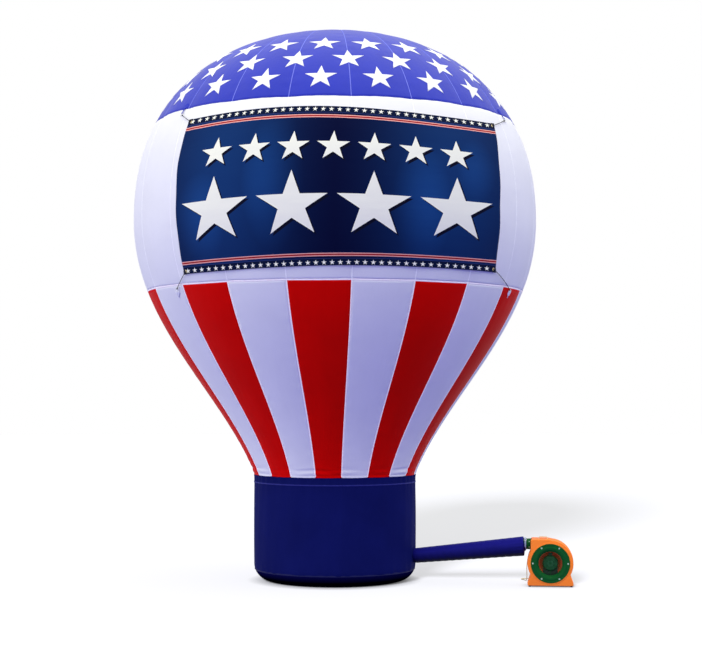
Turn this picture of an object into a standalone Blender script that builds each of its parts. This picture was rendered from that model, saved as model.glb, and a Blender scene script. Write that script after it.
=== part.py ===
"""Cold-air advertising balloon: a balloon-shaped fabric envelope on an inflated drum base, fed by a blower.

Metres, +Z up. The origin is the centre of the base's flat underside, the balloon's front faces -Y and the
blower stands at its +X side. Azimuths are degrees from the front, positive towards +X.
"""

from math import acos, atan2, cos, degrees, floor, pi, radians, sin, sqrt

import bmesh
import bpy
from mathutils import Matrix, Vector
from mathutils.geometry import interpolate_bezier

# Driving dimensions of the envelope
HEIGHT = 6.10
EQUATOR_HEIGHT = 3.985
EQUATOR_RADIUS = 2.252
CROWN_EXPONENT = 2.25
BASE_HEIGHT = 1.175
BASE_RADIUS = 0.90
NECK_SLOPE = 0.40
EQUATOR_HANDLE = 1.145
NECK_HANDLE = 0.915
DOME_SEAM_HEIGHT = 5.05
STRIPE_SEAM_HEIGHT = 3.20
WALL = 0.010
GAP = 0.0003

# Gores and their facets
GORES = 20
GORE_ANGLE = 360 / GORES
FIRST_SEAM = 4.6
FACETS_PER_GORE = 3
FACETS = GORES * FACETS_PER_GORE
FACET_ANGLE = 360 / FACETS

# The drum base, whose rounded corner is part wall and part boot
BASE_CORNER_RADIUS = 0.19
BOOT_SEAM_ANGLE = -17.0

# The banner and what ties it
BANNER_LOW = 3.315
BANNER_HIGH = 4.92
BANNER_LEFT = -46.0
BANNER_RIGHT = 51.5
BANNER_THICKNESS = 0.003
TIE_RADIUS = 0.002
TIE_CLEARANCE = 0.013
TIE_SEAT = 0.0006
RING_RADIUS = 0.020
RING_WIRE_RADIUS = 0.0025
EYELET_INSET = 0.030

# Each corner's ring on the envelope: side, azimuth and height
TIE_TABLE = (
    ("top_left", -51.2, 4.985),
    ("top_right", 61.6, 4.985),
    ("bottom_left", -52.6, 3.150),
    ("bottom_right", 63.6, 3.165),
)

# The blower, in its own frame: its axis runs along Y at AXIS_HEIGHT and its inlet faces -Y
BLOWER_PLACE = (2.33, -0.58)
BLOWER_YAW = -7.2
AXIS_HEIGHT = 0.252
HOUSING_RADIUS = 0.245
HOUSING_WALL = 0.008
HOUSING_DEPTH = 0.30
DUCT_FACE = -0.2095
DUCT_TOP = 0.253
DUCT_BOTTOM = 0.136
WAIST_DROP = 0.125
PEDESTAL_HALF_WIDTH = 0.251
HOUSING_ROUNDING = 0.014
FOOT_HEIGHT = 0.013
FOOT_RADIUS = 0.014
FOOT_X = 0.222
FOOT_Y = 0.118
COLLAR_RADIUS = 0.058
COLLAR_WALL = 0.005
COLLAR_LENGTH = 0.085
COLLAR_SHOWS = 0.047
COLLAR_IN_DUCT = 0.030
COVER_RADIUS = 0.209
COVER_THICKNESS = 0.012
COVER_DISH = 0.020
EYE_RADIUS = 0.128
GRILLE_WIRE = 0.003
GRILLE_SETBACK = 0.0192
GRILLE_RINGS = (0.100, 0.072, 0.044)
GRILLE_SPOKES = 3
MOTOR_RADIUS = 0.083
MOTOR_LENGTH = 0.135
MOTOR_FRONT = -0.128
MOTOR_BACK = MOTOR_FRONT + MOTOR_LENGTH
CRADLE_MIDDLE = -0.090
CRADLE_DEPTH = 0.060
SHAFT_RADIUS = 0.010
BEARING_DEPTH = 0.030
BEARING_CLEARANCE = 0.0004

# The blower's wheel
WHEEL_RADIUS = 0.185
WHEEL_EYE_RADIUS = 0.112
WHEEL_FRONT = -0.030
WHEEL_BACK = 0.105
WHEEL_PLATE = 0.005
HUB_RADIUS = 0.030
HUB_CLEARANCE = 0.006
BLADES = 16
BLADE_THICKNESS = 0.003
BLADE_SWEEP = 0.16

# The sleeve between base and blower
SLEEVE_AZIMUTH = 77.0
SLEEVE_HEIGHT = 0.305
SLEEVE_BASE_RADIUS = 0.079
SLEEVE_END_RADIUS = 0.104
SLEEVE_CUFF_RADIUS = 0.0640
SLEEVE_WALL = 0.005
SLEEVE_SIDES = 24

# The power cord, in the blower's frame: its strain relief on the housing's back, its coil and its plug
GLAND_PLACE = (-0.17, 0.13)
GLAND_LENGTH = 0.040
CORD_RADIUS = 0.004
CORD_LEVEL = CORD_RADIUS + 0.0002
COIL_TURN_RADIUS = 0.044
COIL_CENTRE = (0.02, 0.42)
PLUG_HALF_WIDTH = 0.013
PLUG_LENGTH = 0.042
PLUG_HEIGHT = 0.020
PLUG_OFFSET = 0.0414

# The cord's route by hand: out of the strain relief, down, and along the floor to its coil
CORD_ROUTE = (
    (-0.170, 0.1906, 0.382),
    (-0.170, 0.218, 0.381),
    (-0.179, 0.246, 0.371),
    (-0.203, 0.268, 0.342),
    (-0.230, 0.281, 0.295),
    (-0.246, 0.288, 0.232),
    (-0.252, 0.296, 0.165),
    (-0.253, 0.310, 0.105),
    (-0.252, 0.336, 0.052),
    (-0.255, 0.376, 0.015),
    (-0.266, 0.420, CORD_LEVEL),
    (-0.289, 0.462, CORD_LEVEL),
    (-0.312, 0.505, CORD_LEVEL),
    (-0.306, 0.552, CORD_LEVEL),
    (-0.266, 0.575, CORD_LEVEL),
    (-0.218, 0.564, CORD_LEVEL),
    (-0.165, 0.530, CORD_LEVEL),
    (-0.110, 0.491, CORD_LEVEL),
    (-0.060, 0.469, CORD_LEVEL),
    (-0.0135, 0.464, CORD_LEVEL),
)

FINISHES = {
    "blue_nylon": ((0.045, 0.06, 0.60), 0.55, 0.0),
    "white_nylon": ((0.80, 0.79, 0.86), 0.55, 0.0),
    "red_nylon": ((0.42, 0.002, 0.004), 0.55, 0.0),
    "navy_nylon": ((0.006, 0.008, 0.10), 0.55, 0.0),
    "dark_base_cloth": ((0.004, 0.005, 0.03), 0.7, 0.0),
    "banner_vinyl": ((0.012, 0.02, 0.10), 0.5, 0.0),
    "strap_webbing": ((0.45, 0.52, 0.66), 0.6, 0.0),
    "orange_plastic": ((0.97, 0.20, 0.035), 0.4, 0.0),
    "green_plastic": ((0.01, 0.09, 0.035), 0.4, 0.0),
    "green_paint": ((0.012, 0.05, 0.02), 0.4, 0.0),
    "black_plastic": ((0.015, 0.015, 0.015), 0.5, 0.0),
    "brown_plastic": ((0.12, 0.03, 0.015), 0.5, 0.0),
    "black_rubber": ((0.02, 0.02, 0.02), 0.8, 0.0),
    "cream_plastic": ((0.72, 0.60, 0.35), 0.5, 0.0),
    "cord_jacket": ((0.80, 0.66, 0.30), 0.5, 0.0),
    "black_line": ((0.02, 0.02, 0.02), 0.7, 0.0),
    "steel": ((0.55, 0.55, 0.55), 0.35, 1.0),
}


def clear_scene():
    """Start from an empty scene, with one collection for the parts and one for the cutters."""
    for item in list(bpy.data.objects):
        bpy.data.objects.remove(item)
    for name in ("advertising_balloon", "cutters"):
        bpy.context.scene.collection.children.link(bpy.data.collections.new(name))


def finish(name):
    """Return the named finish as a material."""
    found = bpy.data.materials.get(name)
    if found:
        return found
    colour, roughness, metallic = FINISHES[name]
    material = bpy.data.materials.new(name)
    material.use_nodes = True
    shader = material.node_tree.nodes["Principled BSDF"]
    shader.inputs["Base Color"].default_value = (*colour, 1.0)
    shader.inputs["Roughness"].default_value = roughness
    shader.inputs["Metallic"].default_value = metallic
    material.diffuse_color = (*colour, 1.0)
    return material


def add_object(name, data, material, parent=None, place=None):
    """Link data as a named part, with one material."""
    part = bpy.data.objects.new(name, data)
    bpy.data.collections["advertising_balloon"].objects.link(part)
    data.materials.append(finish(material))
    part.parent = parent
    if place is not None:
        part.matrix_local = place
    return part


def mesh_from(shape):
    """Turn a bmesh into a smooth-shaded mesh with its faces pointing out."""
    bmesh.ops.recalc_face_normals(shape, faces=shape.faces[:])
    mesh = bpy.data.meshes.new("shape")
    shape.to_mesh(mesh)
    shape.free()
    mesh.shade_smooth()
    mesh.set_sharp_from_angle(angle=radians(35))
    return mesh


def make_cutter(cutter):
    """Move an object out of the parts: it only cuts, and never renders."""
    bpy.data.collections["advertising_balloon"].objects.unlink(cutter)
    bpy.data.collections["cutters"].objects.link(cutter)
    cutter.hide_render = True
    cutter.display_type = "WIRE"
    return cutter


def combine(part, other, operation):
    """Cut or join another object with a Boolean modifier; the other becomes a cutter."""
    modifier = part.modifiers.new(operation.lower(), "BOOLEAN")
    modifier.operation = operation
    modifier.object = make_cutter(other)


def cylinder(name, radius, length, material, segments=32, top_radius=None, parent=None, place=None):
    """A cylinder or cone frustum about its own Z axis, from z = 0 to length."""
    shape = bmesh.new()
    bmesh.ops.create_cone(shape, cap_ends=True, segments=segments, radius1=radius,
                          radius2=radius if top_radius is None else top_radius, depth=length,
                          matrix=Matrix.Translation((0, 0, length / 2)))
    return add_object(name, mesh_from(shape), material, parent, place)


def block(name, low, high, material, parent=None, bevel=0.0):
    """A box between two corners, with its edges rounded by bevel."""
    size = [b - a for a, b in zip(low, high)]
    middle = [(a + b) / 2 for a, b in zip(low, high)]
    shape = bmesh.new()
    bmesh.ops.create_cube(shape, size=1.0, matrix=Matrix.Translation(middle) @ Matrix.Diagonal((*size, 1)))
    part = add_object(name, mesh_from(shape), material, parent)
    if bevel:
        rounding = part.modifiers.new("rounding", "BEVEL")
        rounding.width = bevel
        rounding.segments = 2
    return part


def turned(name, profile, material, segments, closed=True, parent=None, place=None):
    """Spin a (radius, height) profile about Z. It runs down the outer side, top to bottom."""
    shape = bmesh.new()
    corners = [shape.verts.new((radius, 0, height)) for radius, height in profile]
    ends = corners[1:] + corners[:1] if closed else corners[1:]
    for start, end in zip(corners, ends):
        shape.edges.new((start, end))
    mesh = bpy.data.meshes.new(name)
    shape.to_mesh(mesh)
    shape.free()
    part = add_object(name, mesh, material, parent, place)
    spin = part.modifiers.new("spin", "SCREW")
    spin.steps = segments
    spin.render_steps = segments
    spin.use_merge_vertices = True
    spin.merge_threshold = 0.0001
    return part


def extruded(name, outline, depth, material, parent=None, place=None):
    """Fill an (x, y) outline and give it depth along Z, half to each side."""
    curve = bpy.data.curves.new(name, "CURVE")
    curve.dimensions = "2D"
    curve.fill_mode = "BOTH"
    curve.extrude = depth / 2
    line = curve.splines.new("POLY")
    line.points.add(len(outline) - 1)
    for point, (x, y) in zip(line.points, outline):
        point.co = (x, y, 0, 1)
    line.use_cyclic_u = True
    part = add_object(name, curve, material, parent, place)
    return as_mesh(part)


def tube(name, route, radii, material, sides, closed_ends=True, parent=None):
    """A tube along the route, with one radius for all points or one for each."""
    curve = bpy.data.curves.new(name, "CURVE")
    curve.dimensions = "3D"
    curve.bevel_depth = 1.0
    curve.bevel_resolution = sides // 2 - 2
    curve.use_fill_caps = closed_ends
    line = curve.splines.new("POLY")
    line.points.add(len(route) - 1)
    if isinstance(radii, float):
        radii = [radii] * len(route)
    for point, place, radius in zip(line.points, route, radii):
        point.co = (*place, 1)
        point.radius = radius
    return as_mesh(add_object(name, curve, material, parent))


def as_mesh(part):
    """Replace a curve object by a mesh object of the same name, with its caps welded."""
    bpy.context.view_layer.update()
    evaluated = part.evaluated_get(bpy.context.evaluated_depsgraph_get())
    mesh = bpy.data.meshes.new_from_object(evaluated)
    shape = bmesh.new()
    shape.from_mesh(mesh)
    bmesh.ops.remove_doubles(shape, verts=shape.verts[:], dist=0.00001)
    shape.to_mesh(mesh)
    shape.free()
    mesh.shade_smooth()
    mesh.set_sharp_from_angle(angle=radians(35))
    name, parent, place = part.name, part.parent, part.matrix_local.copy()
    bpy.data.objects.remove(part)
    solid = bpy.data.objects.new(name, mesh)
    bpy.data.collections["advertising_balloon"].objects.link(solid)
    solid.parent = parent
    solid.matrix_local = place
    return solid


def arc(centre, radius, start, end, steps):
    """Points of an arc, from the start to the end angle in degrees."""
    angles = [radians(start + (end - start) * k / steps) for k in range(steps + 1)]
    return [(centre[0] + radius * cos(a), centre[1] + radius * sin(a)) for a in angles]


# The envelope's outline

def crown_point(height):
    """Radius and outward normal of the envelope above its equator, a superellipse."""
    rise = (height - EQUATOR_HEIGHT) / (HEIGHT - EQUATOR_HEIGHT)
    radius = EQUATOR_RADIUS * max(1 - rise ** CROWN_EXPONENT, 0) ** (1 / CROWN_EXPONENT)
    across = (radius / EQUATOR_RADIUS) ** (CROWN_EXPONENT - 1) / EQUATOR_RADIUS
    upward = rise ** (CROWN_EXPONENT - 1) / (HEIGHT - EQUATOR_HEIGHT)
    return radius, Vector((across, upward)).normalized()


def skirt_point(height):
    """Radius and outward normal below the equator, one Bezier curve down to the base's top."""
    equator = Vector((EQUATOR_RADIUS, EQUATOR_HEIGHT))
    neck = Vector((BASE_RADIUS, BASE_HEIGHT))
    under_equator = equator - Vector((0, EQUATOR_HANDLE))
    over_neck = neck + NECK_HANDLE * Vector((NECK_SLOPE, 1))
    curve = interpolate_bezier(equator, under_equator, over_neck, neck, 400)
    above, below = next(pair for pair in zip(curve, curve[1:]) if pair[1].y <= height or pair[1] == curve[-1])
    share = (above.y - height) / (above.y - below.y)
    step = below - above
    return above.x + share * step.x, Vector((-step.y, step.x)).normalized()


def outline_point(height):
    """Radius and outward normal of the envelope at a height."""
    return crown_point(height) if height >= EQUATOR_HEIGHT else skirt_point(height)


def even_steps(low, high, count):
    """Heights from low to high in count equal steps."""
    return [low + (high - low) * k / count for k in range(count + 1)]


STRIPE_RINGS = even_steps(BASE_HEIGHT + GAP, STRIPE_SEAM_HEIGHT - GAP / 2, 9)
BAND_RINGS = ([STRIPE_SEAM_HEIGHT + GAP / 2] + even_steps(BANNER_LOW, BANNER_HIGH, 7)
              + [DOME_SEAM_HEIGHT - GAP / 2])


def dome_rings(count):
    """Heights from the dome's seam almost to the crown, closer together towards the top."""
    top = HEIGHT - EQUATOR_HEIGHT
    start = acos((DOME_SEAM_HEIGHT + GAP / 2 - EQUATOR_HEIGHT) / top)
    return [EQUATOR_HEIGHT + top * cos(start * (1 - k / count)) for k in range(count)]


def wall_corner(height, depth, level=False):
    """A point of the outline, moved inwards by depth, along the normal or level."""
    radius, normal = outline_point(height)
    if level:
        return radius - depth, height
    return radius - depth * normal.x, height - depth * normal.y


def facet_middle(azimuth):
    """The azimuth of the middle of the facet that an azimuth falls on."""
    facet = floor((azimuth - FIRST_SEAM) / FACET_ANGLE)
    return FIRST_SEAM + (facet + 0.5) * FACET_ANGLE


def facet_share(azimuth):
    """How far out the facets' polygon reaches at an azimuth, as a share of its corners' radius."""
    return cos(pi / FACETS) / cos(radians(azimuth - facet_middle(azimuth)))


def faceted_point(azimuth, height, lift=0.0):
    """The point on the faceted envelope, and its facet's normal, lifted off it along that normal."""
    rings = STRIPE_RINGS if height < STRIPE_SEAM_HEIGHT else BAND_RINGS
    low, high = next(pair for pair in zip(rings, rings[1:]) if pair[1] >= height - GAP)
    low_radius, high_radius = outline_point(low)[0], outline_point(high)[0]
    corner_radius = low_radius + (high_radius - low_radius) * (height - low) / (high - low)
    middle = facet_middle(azimuth)
    radius = corner_radius * facet_share(azimuth)
    place = Vector((radius * sin(radians(azimuth)), -radius * cos(radians(azimuth)), height))
    slope = (high_radius - low_radius) * cos(pi / FACETS) / (high - low)
    normal = Vector((sin(radians(middle)), -cos(radians(middle)), -slope)).normalized()
    return place + lift * normal, normal


# The envelope's panels

def ring_place():
    """Turns a spun ring so that its facets' edges fall on the gores' seams."""
    return Matrix.Rotation(radians(FIRST_SEAM - 90), 4, "Z")


def shell_profile(rings):
    """The closed outline of a wall between its lowest and highest ring, down the outer side."""
    outer = [wall_corner(height, 0) for height in reversed(rings)]
    inner = [wall_corner(height, WALL) for height in rings]
    return outer + inner


def dome():
    rings = dome_rings(8)
    outer = [(0, HEIGHT)] + [wall_corner(height, 0) for height in reversed(rings)]
    inner = [wall_corner(height, WALL) for height in rings] + [(0, HEIGHT - WALL)]
    turned("dome", outer + inner, "blue_nylon", FACETS, closed=False, place=ring_place())


def mid_band():
    turned("mid_band", shell_profile(BAND_RINGS), "white_nylon", FACETS, place=ring_place())


def stripe_gore(number):
    """One lower gore, bent from a flat slab; red and white ones alternate round the skirt."""
    start = FIRST_SEAM + number * GORE_ANGLE
    rows = len(STRIPE_RINGS) - 1
    shape = bmesh.new()
    bmesh.ops.create_grid(shape, x_segments=FACETS_PER_GORE, y_segments=rows, size=0.5)
    raised = bmesh.ops.extrude_face_region(shape, geom=shape.faces[:])
    inner = {item for item in raised["geom"] if isinstance(item, bmesh.types.BMVert)}
    for corner in shape.verts:
        column = round((corner.co.x + 0.5) * FACETS_PER_GORE)
        row = round((corner.co.y + 0.5) * rows)
        depth = WALL if corner in inner else 0.0
        radius, height = wall_corner(STRIPE_RINGS[row], depth, level=row == 0)
        azimuth = radians(start + column * FACET_ANGLE)
        nudge = {0: GAP / 2, FACETS_PER_GORE: -GAP / 2}.get(column, 0.0)
        azimuth += nudge / radius
        corner.co = (radius * sin(azimuth), -radius * cos(azimuth), height)
    colour = "white" if number % 2 == 0 else "red"
    add_object(f"stripe_{number + 1:02d}_{colour}", mesh_from(shape), f"{colour}_nylon")


def base_corner(radius, start, end, steps):
    """Part of the drum's rounded corner, from the start to the end angle."""
    centre = (BASE_RADIUS - BASE_CORNER_RADIUS, BASE_CORNER_RADIUS)
    return arc(centre, radius, start, end, steps)


def half_seam():
    """The angle that half of a gap takes up on the drum's rounded corner."""
    return degrees(GAP / 2 / BASE_CORNER_RADIUS)


def base_wall():
    """The drum's wall down to its boot, with the hole where the sleeve is sewn in."""
    seam = BOOT_SEAM_ANGLE + half_seam()
    outer = [(BASE_RADIUS, BASE_HEIGHT)] + base_corner(BASE_CORNER_RADIUS, 0, seam, 1)
    inner = base_corner(BASE_CORNER_RADIUS - WALL, seam, 0, 1) + [(BASE_RADIUS - WALL, BASE_HEIGHT)]
    wall = turned("base_wall", outer + inner, "navy_nylon", FACETS, place=ring_place())
    route, radii = sleeve_route()
    cutter = tube("sleeve_hole", route[:2], [radius + GAP for radius in radii[:2]], "navy_nylon",
                  SLEEVE_SIDES)
    combine(wall, cutter, "DIFFERENCE")


def base_boot():
    """The dark boot, rounded from the wall's lower seam into the drum's underside."""
    seam = BOOT_SEAM_ANGLE - half_seam()
    outer = base_corner(BASE_CORNER_RADIUS, seam, -90, 4)
    inner = base_corner(BASE_CORNER_RADIUS - WALL, -90, seam, 4)
    lip = BASE_RADIUS - BASE_CORNER_RADIUS - WALL
    turned("base_boot", outer + [(lip, 0), (lip, WALL)] + inner, "dark_base_cloth", FACETS,
           place=ring_place())


def base_floor():
    radius = BASE_RADIUS - BASE_CORNER_RADIUS - WALL - GAP
    profile = [(0, WALL), (radius, WALL), (radius, 0), (0, 0)]
    turned("base_floor", profile, "dark_base_cloth", FACETS, closed=False, place=ring_place())


# The banner

def banner():
    """A sheet lying on the band, bent from a flat slab, column by column on the envelope's facets."""
    first_edge = FIRST_SEAM + FACET_ANGLE * (floor((BANNER_LEFT - FIRST_SEAM) / FACET_ANGLE) + 1)
    last_edge = FIRST_SEAM + FACET_ANGLE * floor((BANNER_RIGHT - FIRST_SEAM) / FACET_ANGLE)
    facets = round((last_edge - first_edge) / FACET_ANGLE)
    columns = [BANNER_LEFT] + even_steps(first_edge, last_edge, facets) + [BANNER_RIGHT]
    heights = BAND_RINGS[1:-1]
    shape = bmesh.new()
    bmesh.ops.create_grid(shape, x_segments=len(columns) - 1, y_segments=len(heights) - 1, size=0.5)
    raised = bmesh.ops.extrude_face_region(shape, geom=shape.faces[:])
    outside = {item for item in raised["geom"] if isinstance(item, bmesh.types.BMVert)}
    for corner in shape.verts:
        azimuth = columns[round((corner.co.x + 0.5) * (len(columns) - 1))]
        height = heights[round((corner.co.y + 0.5) * (len(heights) - 1))]
        lift = 2 * GAP + (BANNER_THICKNESS if corner in outside else 0.0)
        radius, level = wall_corner(height, -lift)
        radius *= facet_share(azimuth)
        corner.co = (radius * sin(radians(azimuth)), -radius * cos(radians(azimuth)), level)
    add_object("banner", mesh_from(shape), "banner_vinyl")


def banner_tie(side, ring_azimuth, ring_height):
    """A ring on the envelope and the taut line from the banner's eyelet to it."""
    middle, normal = faceted_point(ring_azimuth, ring_height, GAP + RING_WIRE_RADIUS)
    turn = Vector((0, 0, 1)).rotation_difference(normal).to_matrix().to_4x4()
    circle = arc((RING_RADIUS, 0), RING_WIRE_RADIUS, 90, -270, 6)[:-1]
    turned(f"tie_ring_{side}", circle, "steel", 18, place=Matrix.Translation(middle) @ turn)

    inset = degrees(EYELET_INSET / EQUATOR_RADIUS)
    azimuth = BANNER_LEFT + inset if "left" in side else BANNER_RIGHT - inset
    height = BANNER_HIGH - EYELET_INSET if "top" in side else BANNER_LOW + EYELET_INSET
    eyelet, _ = faceted_point(azimuth, height, 2 * GAP + BANNER_THICKNESS + TIE_RADIUS + TIE_SEAT)
    across, up = ring_azimuth - azimuth, ring_height - height
    between = [faceted_point(azimuth + share * across, height + share * up, TIE_CLEARANCE)[0]
               for share in (0.2, 0.4, 0.6, 0.8)]
    towards = eyelet - middle
    towards = (towards - towards.dot(normal) * normal).normalized()
    over_wire = middle + normal * (RING_WIRE_RADIUS + TIE_RADIUS + TIE_SEAT)
    wire_end = [over_wire + towards * (RING_RADIUS + reach) for reach in (0.016, 0.0)]
    tube(f"banner_tie_{side}", [eyelet, *between, *wire_end], TIE_RADIUS, "black_line", 8)


# The sleeve

def blower_matrix():
    return Matrix.Translation((*BLOWER_PLACE, 0)) @ Matrix.Rotation(radians(BLOWER_YAW), 4, "Z")


def sleeve_route():
    """Centre points and radii of the sleeve's outside, from inside the base wall to the blower's collar."""
    azimuth = radians(SLEEVE_AZIMUTH)
    outward = Vector((sin(azimuth), -cos(azimuth), 0))
    wall = outward * BASE_RADIUS + Vector((0, 0, SLEEVE_HEIGHT))
    collar_height = AXIS_HEIGHT + (DUCT_TOP + DUCT_BOTTOM) / 2
    collar = blower_matrix() @ Vector((DUCT_FACE - COLLAR_SHOWS, 0, collar_height))
    collar_axis = blower_matrix().to_3x3() @ Vector((-1, 0, 0))
    full_end = collar + collar_axis * 0.055 + Vector((0, 0, -0.010))
    along = full_end - wall
    route = [wall - along.normalized() * 0.025, wall + along.normalized() * 0.025]
    radii = [SLEEVE_BASE_RADIUS, SLEEVE_BASE_RADIUS]
    for share in (0.2, 0.4, 0.6, 0.8, 0.94):
        route.append(wall + along * share)
        radii.append(SLEEVE_BASE_RADIUS + (SLEEVE_END_RADIUS - SLEEVE_BASE_RADIUS) * share / 0.94)
    route += [full_end, collar + collar_axis * 0.034, collar + collar_axis * 0.024, collar]
    radii += [SLEEVE_END_RADIUS * 0.97, SLEEVE_END_RADIUS * 0.86, SLEEVE_CUFF_RADIUS, SLEEVE_CUFF_RADIUS]
    return route, radii


def sleeve():
    """The fabric duct: an open tube with a thin wall, gathered onto the blower's collar by a strap."""
    route, radii = sleeve_route()
    duct = tube("inflation_sleeve", route, radii, "navy_nylon", SLEEVE_SIDES, closed_ends=False)
    wall = duct.modifiers.new("wall", "SOLIDIFY")
    wall.thickness = SLEEVE_WALL
    wall.offset = -1
    wall.use_even_offset = True


def blower_part_place(x, y, z, axis="Z"):
    """A place in the blower's frame; the part's own Z axis points along the named axis."""
    turns = {"Z": Matrix.Identity(4), "Y": Matrix.Rotation(radians(-90), 4, "X"),
             "-Y": Matrix.Rotation(radians(90), 4, "X"), "-X": Matrix.Rotation(radians(-90), 4, "Y")}
    return Matrix.Translation((x, y, z)) @ turns[axis]


def sleeve_strap(frame):
    height = AXIS_HEIGHT + (DUCT_TOP + DUCT_BOTTOM) / 2
    inner = SLEEVE_CUFF_RADIUS + 2 * GAP
    outer = inner + 0.004
    profile = [(outer, 0.018), (outer, 0.0), (inner, 0.0), (inner, 0.018)]
    turned("sleeve_strap", profile, "strap_webbing", 48, parent=frame,
           place=blower_part_place(DUCT_FACE - COLLAR_SHOWS - 0.002, 0, height, "-X"))


# The blower

def blower_housing(frame):
    """The moulded scroll with its outlet duct and pedestal, hollow, open at the inlet and the outlet."""
    waist_angle = degrees(atan2(WAIST_DROP, sqrt(HOUSING_RADIUS ** 2 - WAIST_DROP ** 2)))
    pedestal_drop = AXIS_HEIGHT - FOOT_HEIGHT - GAP
    outline = [(DUCT_FACE, DUCT_TOP), (-0.02, DUCT_TOP)]
    outline += arc((0, 0), HOUSING_RADIUS, 84, -waist_angle, 14)
    outline += [(PEDESTAL_HALF_WIDTH, -pedestal_drop), (-PEDESTAL_HALF_WIDTH, -pedestal_drop)]
    outline += arc((0, 0), HOUSING_RADIUS, 180 + waist_angle, 148, 8)
    outline += [(DUCT_FACE, DUCT_BOTTOM)]
    upright = Matrix.Translation((0, 0, AXIS_HEIGHT)) @ Matrix.Rotation(radians(90), 4, "X")
    housing = extruded("blower_housing", outline, HOUSING_DEPTH, "orange_plastic", frame, upright)
    rounding = housing.modifiers.new("rounding", "BEVEL")
    rounding.width = HOUSING_ROUNDING
    rounding.segments = 2
    rounding.limit_method = "ANGLE"
    rounding.angle_limit = radians(60)

    inner_depth = HOUSING_DEPTH - 2 * HOUSING_WALL
    cavity = cylinder("cavity", HOUSING_RADIUS - HOUSING_WALL, inner_depth, "orange_plastic", 48,
                      parent=frame, place=blower_part_place(0, inner_depth / 2, AXIS_HEIGHT, "-Y"))
    combine(housing, cavity, "DIFFERENCE")
    inlet = cylinder("inlet", EYE_RADIUS + 0.035, HOUSING_DEPTH / 2 + 0.02, "orange_plastic", 48,
                     parent=frame, place=blower_part_place(0, 0, AXIS_HEIGHT, "-Y"))
    combine(housing, inlet, "DIFFERENCE")
    outlet = cylinder("outlet", COLLAR_RADIUS + GAP, 0.20, "orange_plastic", 32, parent=frame,
                      place=blower_part_place(-0.10, 0, outlet_height(), "-X"))
    combine(housing, outlet, "DIFFERENCE")


def outlet_height():
    return AXIS_HEIGHT + (DUCT_TOP + DUCT_BOTTOM) / 2


def outlet_collar(frame):
    """The round spigot that the sleeve is strapped to, pushed into the duct's mouth."""
    inner = COLLAR_RADIUS - COLLAR_WALL
    profile = [(COLLAR_RADIUS, COLLAR_LENGTH), (COLLAR_RADIUS, -COLLAR_IN_DUCT), (inner, -COLLAR_IN_DUCT),
               (inner, COLLAR_LENGTH)]
    turned("outlet_collar", profile, "green_plastic", 32, parent=frame,
           place=blower_part_place(DUCT_FACE, 0, outlet_height(), "-X"))


def inlet_cover(frame):
    """The screwed-on inlet plate, flat at its rim and dished towards the eye."""
    edge = 0.003
    lip = 0.006
    profile = [(COVER_RADIUS - edge, COVER_THICKNESS), (COVER_RADIUS, COVER_THICKNESS - edge),
               (COVER_RADIUS, 0.0), (EYE_RADIUS + 0.032, 0.0), (EYE_RADIUS, -COVER_DISH),
               (EYE_RADIUS, lip - COVER_DISH), (EYE_RADIUS + 0.030, COVER_THICKNESS)]
    turned("inlet_cover", profile, "green_plastic", 60, parent=frame,
           place=blower_part_place(0, -HOUSING_DEPTH / 2 - GAP, AXIS_HEIGHT, "-Y"))


def inlet_grille(frame):
    """The finger guard in the eye: wire rings on spokes, seated in the cover's mouth."""
    wire = GRILLE_WIRE
    place = blower_part_place(0, GRILLE_SETBACK - HOUSING_DEPTH / 2 - GAP, AXIS_HEIGHT, "-Y")
    rim = EYE_RADIUS - 2 * GAP
    grille = ring("inlet_grille", rim - wire, rim, wire, "green_plastic", frame, place)
    for middle in GRILLE_RINGS:
        combine(grille, ring("grille_ring", middle - wire / 2, middle + wire / 2, wire, "green_plastic",
                             frame, place), "UNION")
    for number in range(GRILLE_SPOKES):
        spoke = block("spoke", (wire / 2 - rim, -wire / 2, wire * 0.1),
                      (rim - wire / 2, wire / 2, wire * 0.9), "green_plastic", frame)
        spoke.matrix_local = place @ Matrix.Rotation(pi * number / GRILLE_SPOKES, 4, "Z")
        combine(grille, spoke, "UNION")


def ring(name, inner, outer, thickness, material, parent, place, segments=30):
    """A flat ring of square section."""
    profile = [(outer, thickness), (outer, 0.0), (inner, 0.0), (inner, thickness)]
    return turned(name, profile, material, segments, parent=parent, place=place)


def motor(frame):
    """The motor's body, a plain drum with a bearing hole for the wheel's shaft."""
    edge = 0.006
    bore = SHAFT_RADIUS + BEARING_CLEARANCE
    bore_end = MOTOR_LENGTH - BEARING_DEPTH
    profile = [(0, bore_end), (bore, bore_end), (bore, MOTOR_LENGTH), (MOTOR_RADIUS, MOTOR_LENGTH),
               (MOTOR_RADIUS, edge), (MOTOR_RADIUS - edge, 0), (0, 0)]
    turned("motor", profile, "green_paint", 36, closed=False, parent=frame,
           place=blower_part_place(0, MOTOR_FRONT, AXIS_HEIGHT, "Y"))


def motor_cradle(frame):
    """The black foot that carries the motor off the housing's floor."""
    chords = 10
    start, end = -20, -160
    seat = (MOTOR_RADIUS + GAP) / cos(radians((start - end) / chords / 2))
    foot_drop = HOUSING_RADIUS - HOUSING_WALL - 0.0018
    outline = arc((0, 0), seat, start, end, chords)
    outline += [(-0.078, -0.118), (-0.022, -0.124), (-0.022, -foot_drop), (0.022, -foot_drop),
                (0.022, -0.124), (0.078, -0.118)]
    upright = Matrix.Translation((0, CRADLE_MIDDLE, AXIS_HEIGHT)) @ Matrix.Rotation(radians(90), 4, "X")
    extruded("motor_cradle", outline, CRADLE_DEPTH, "black_plastic", frame, upright)


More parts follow.
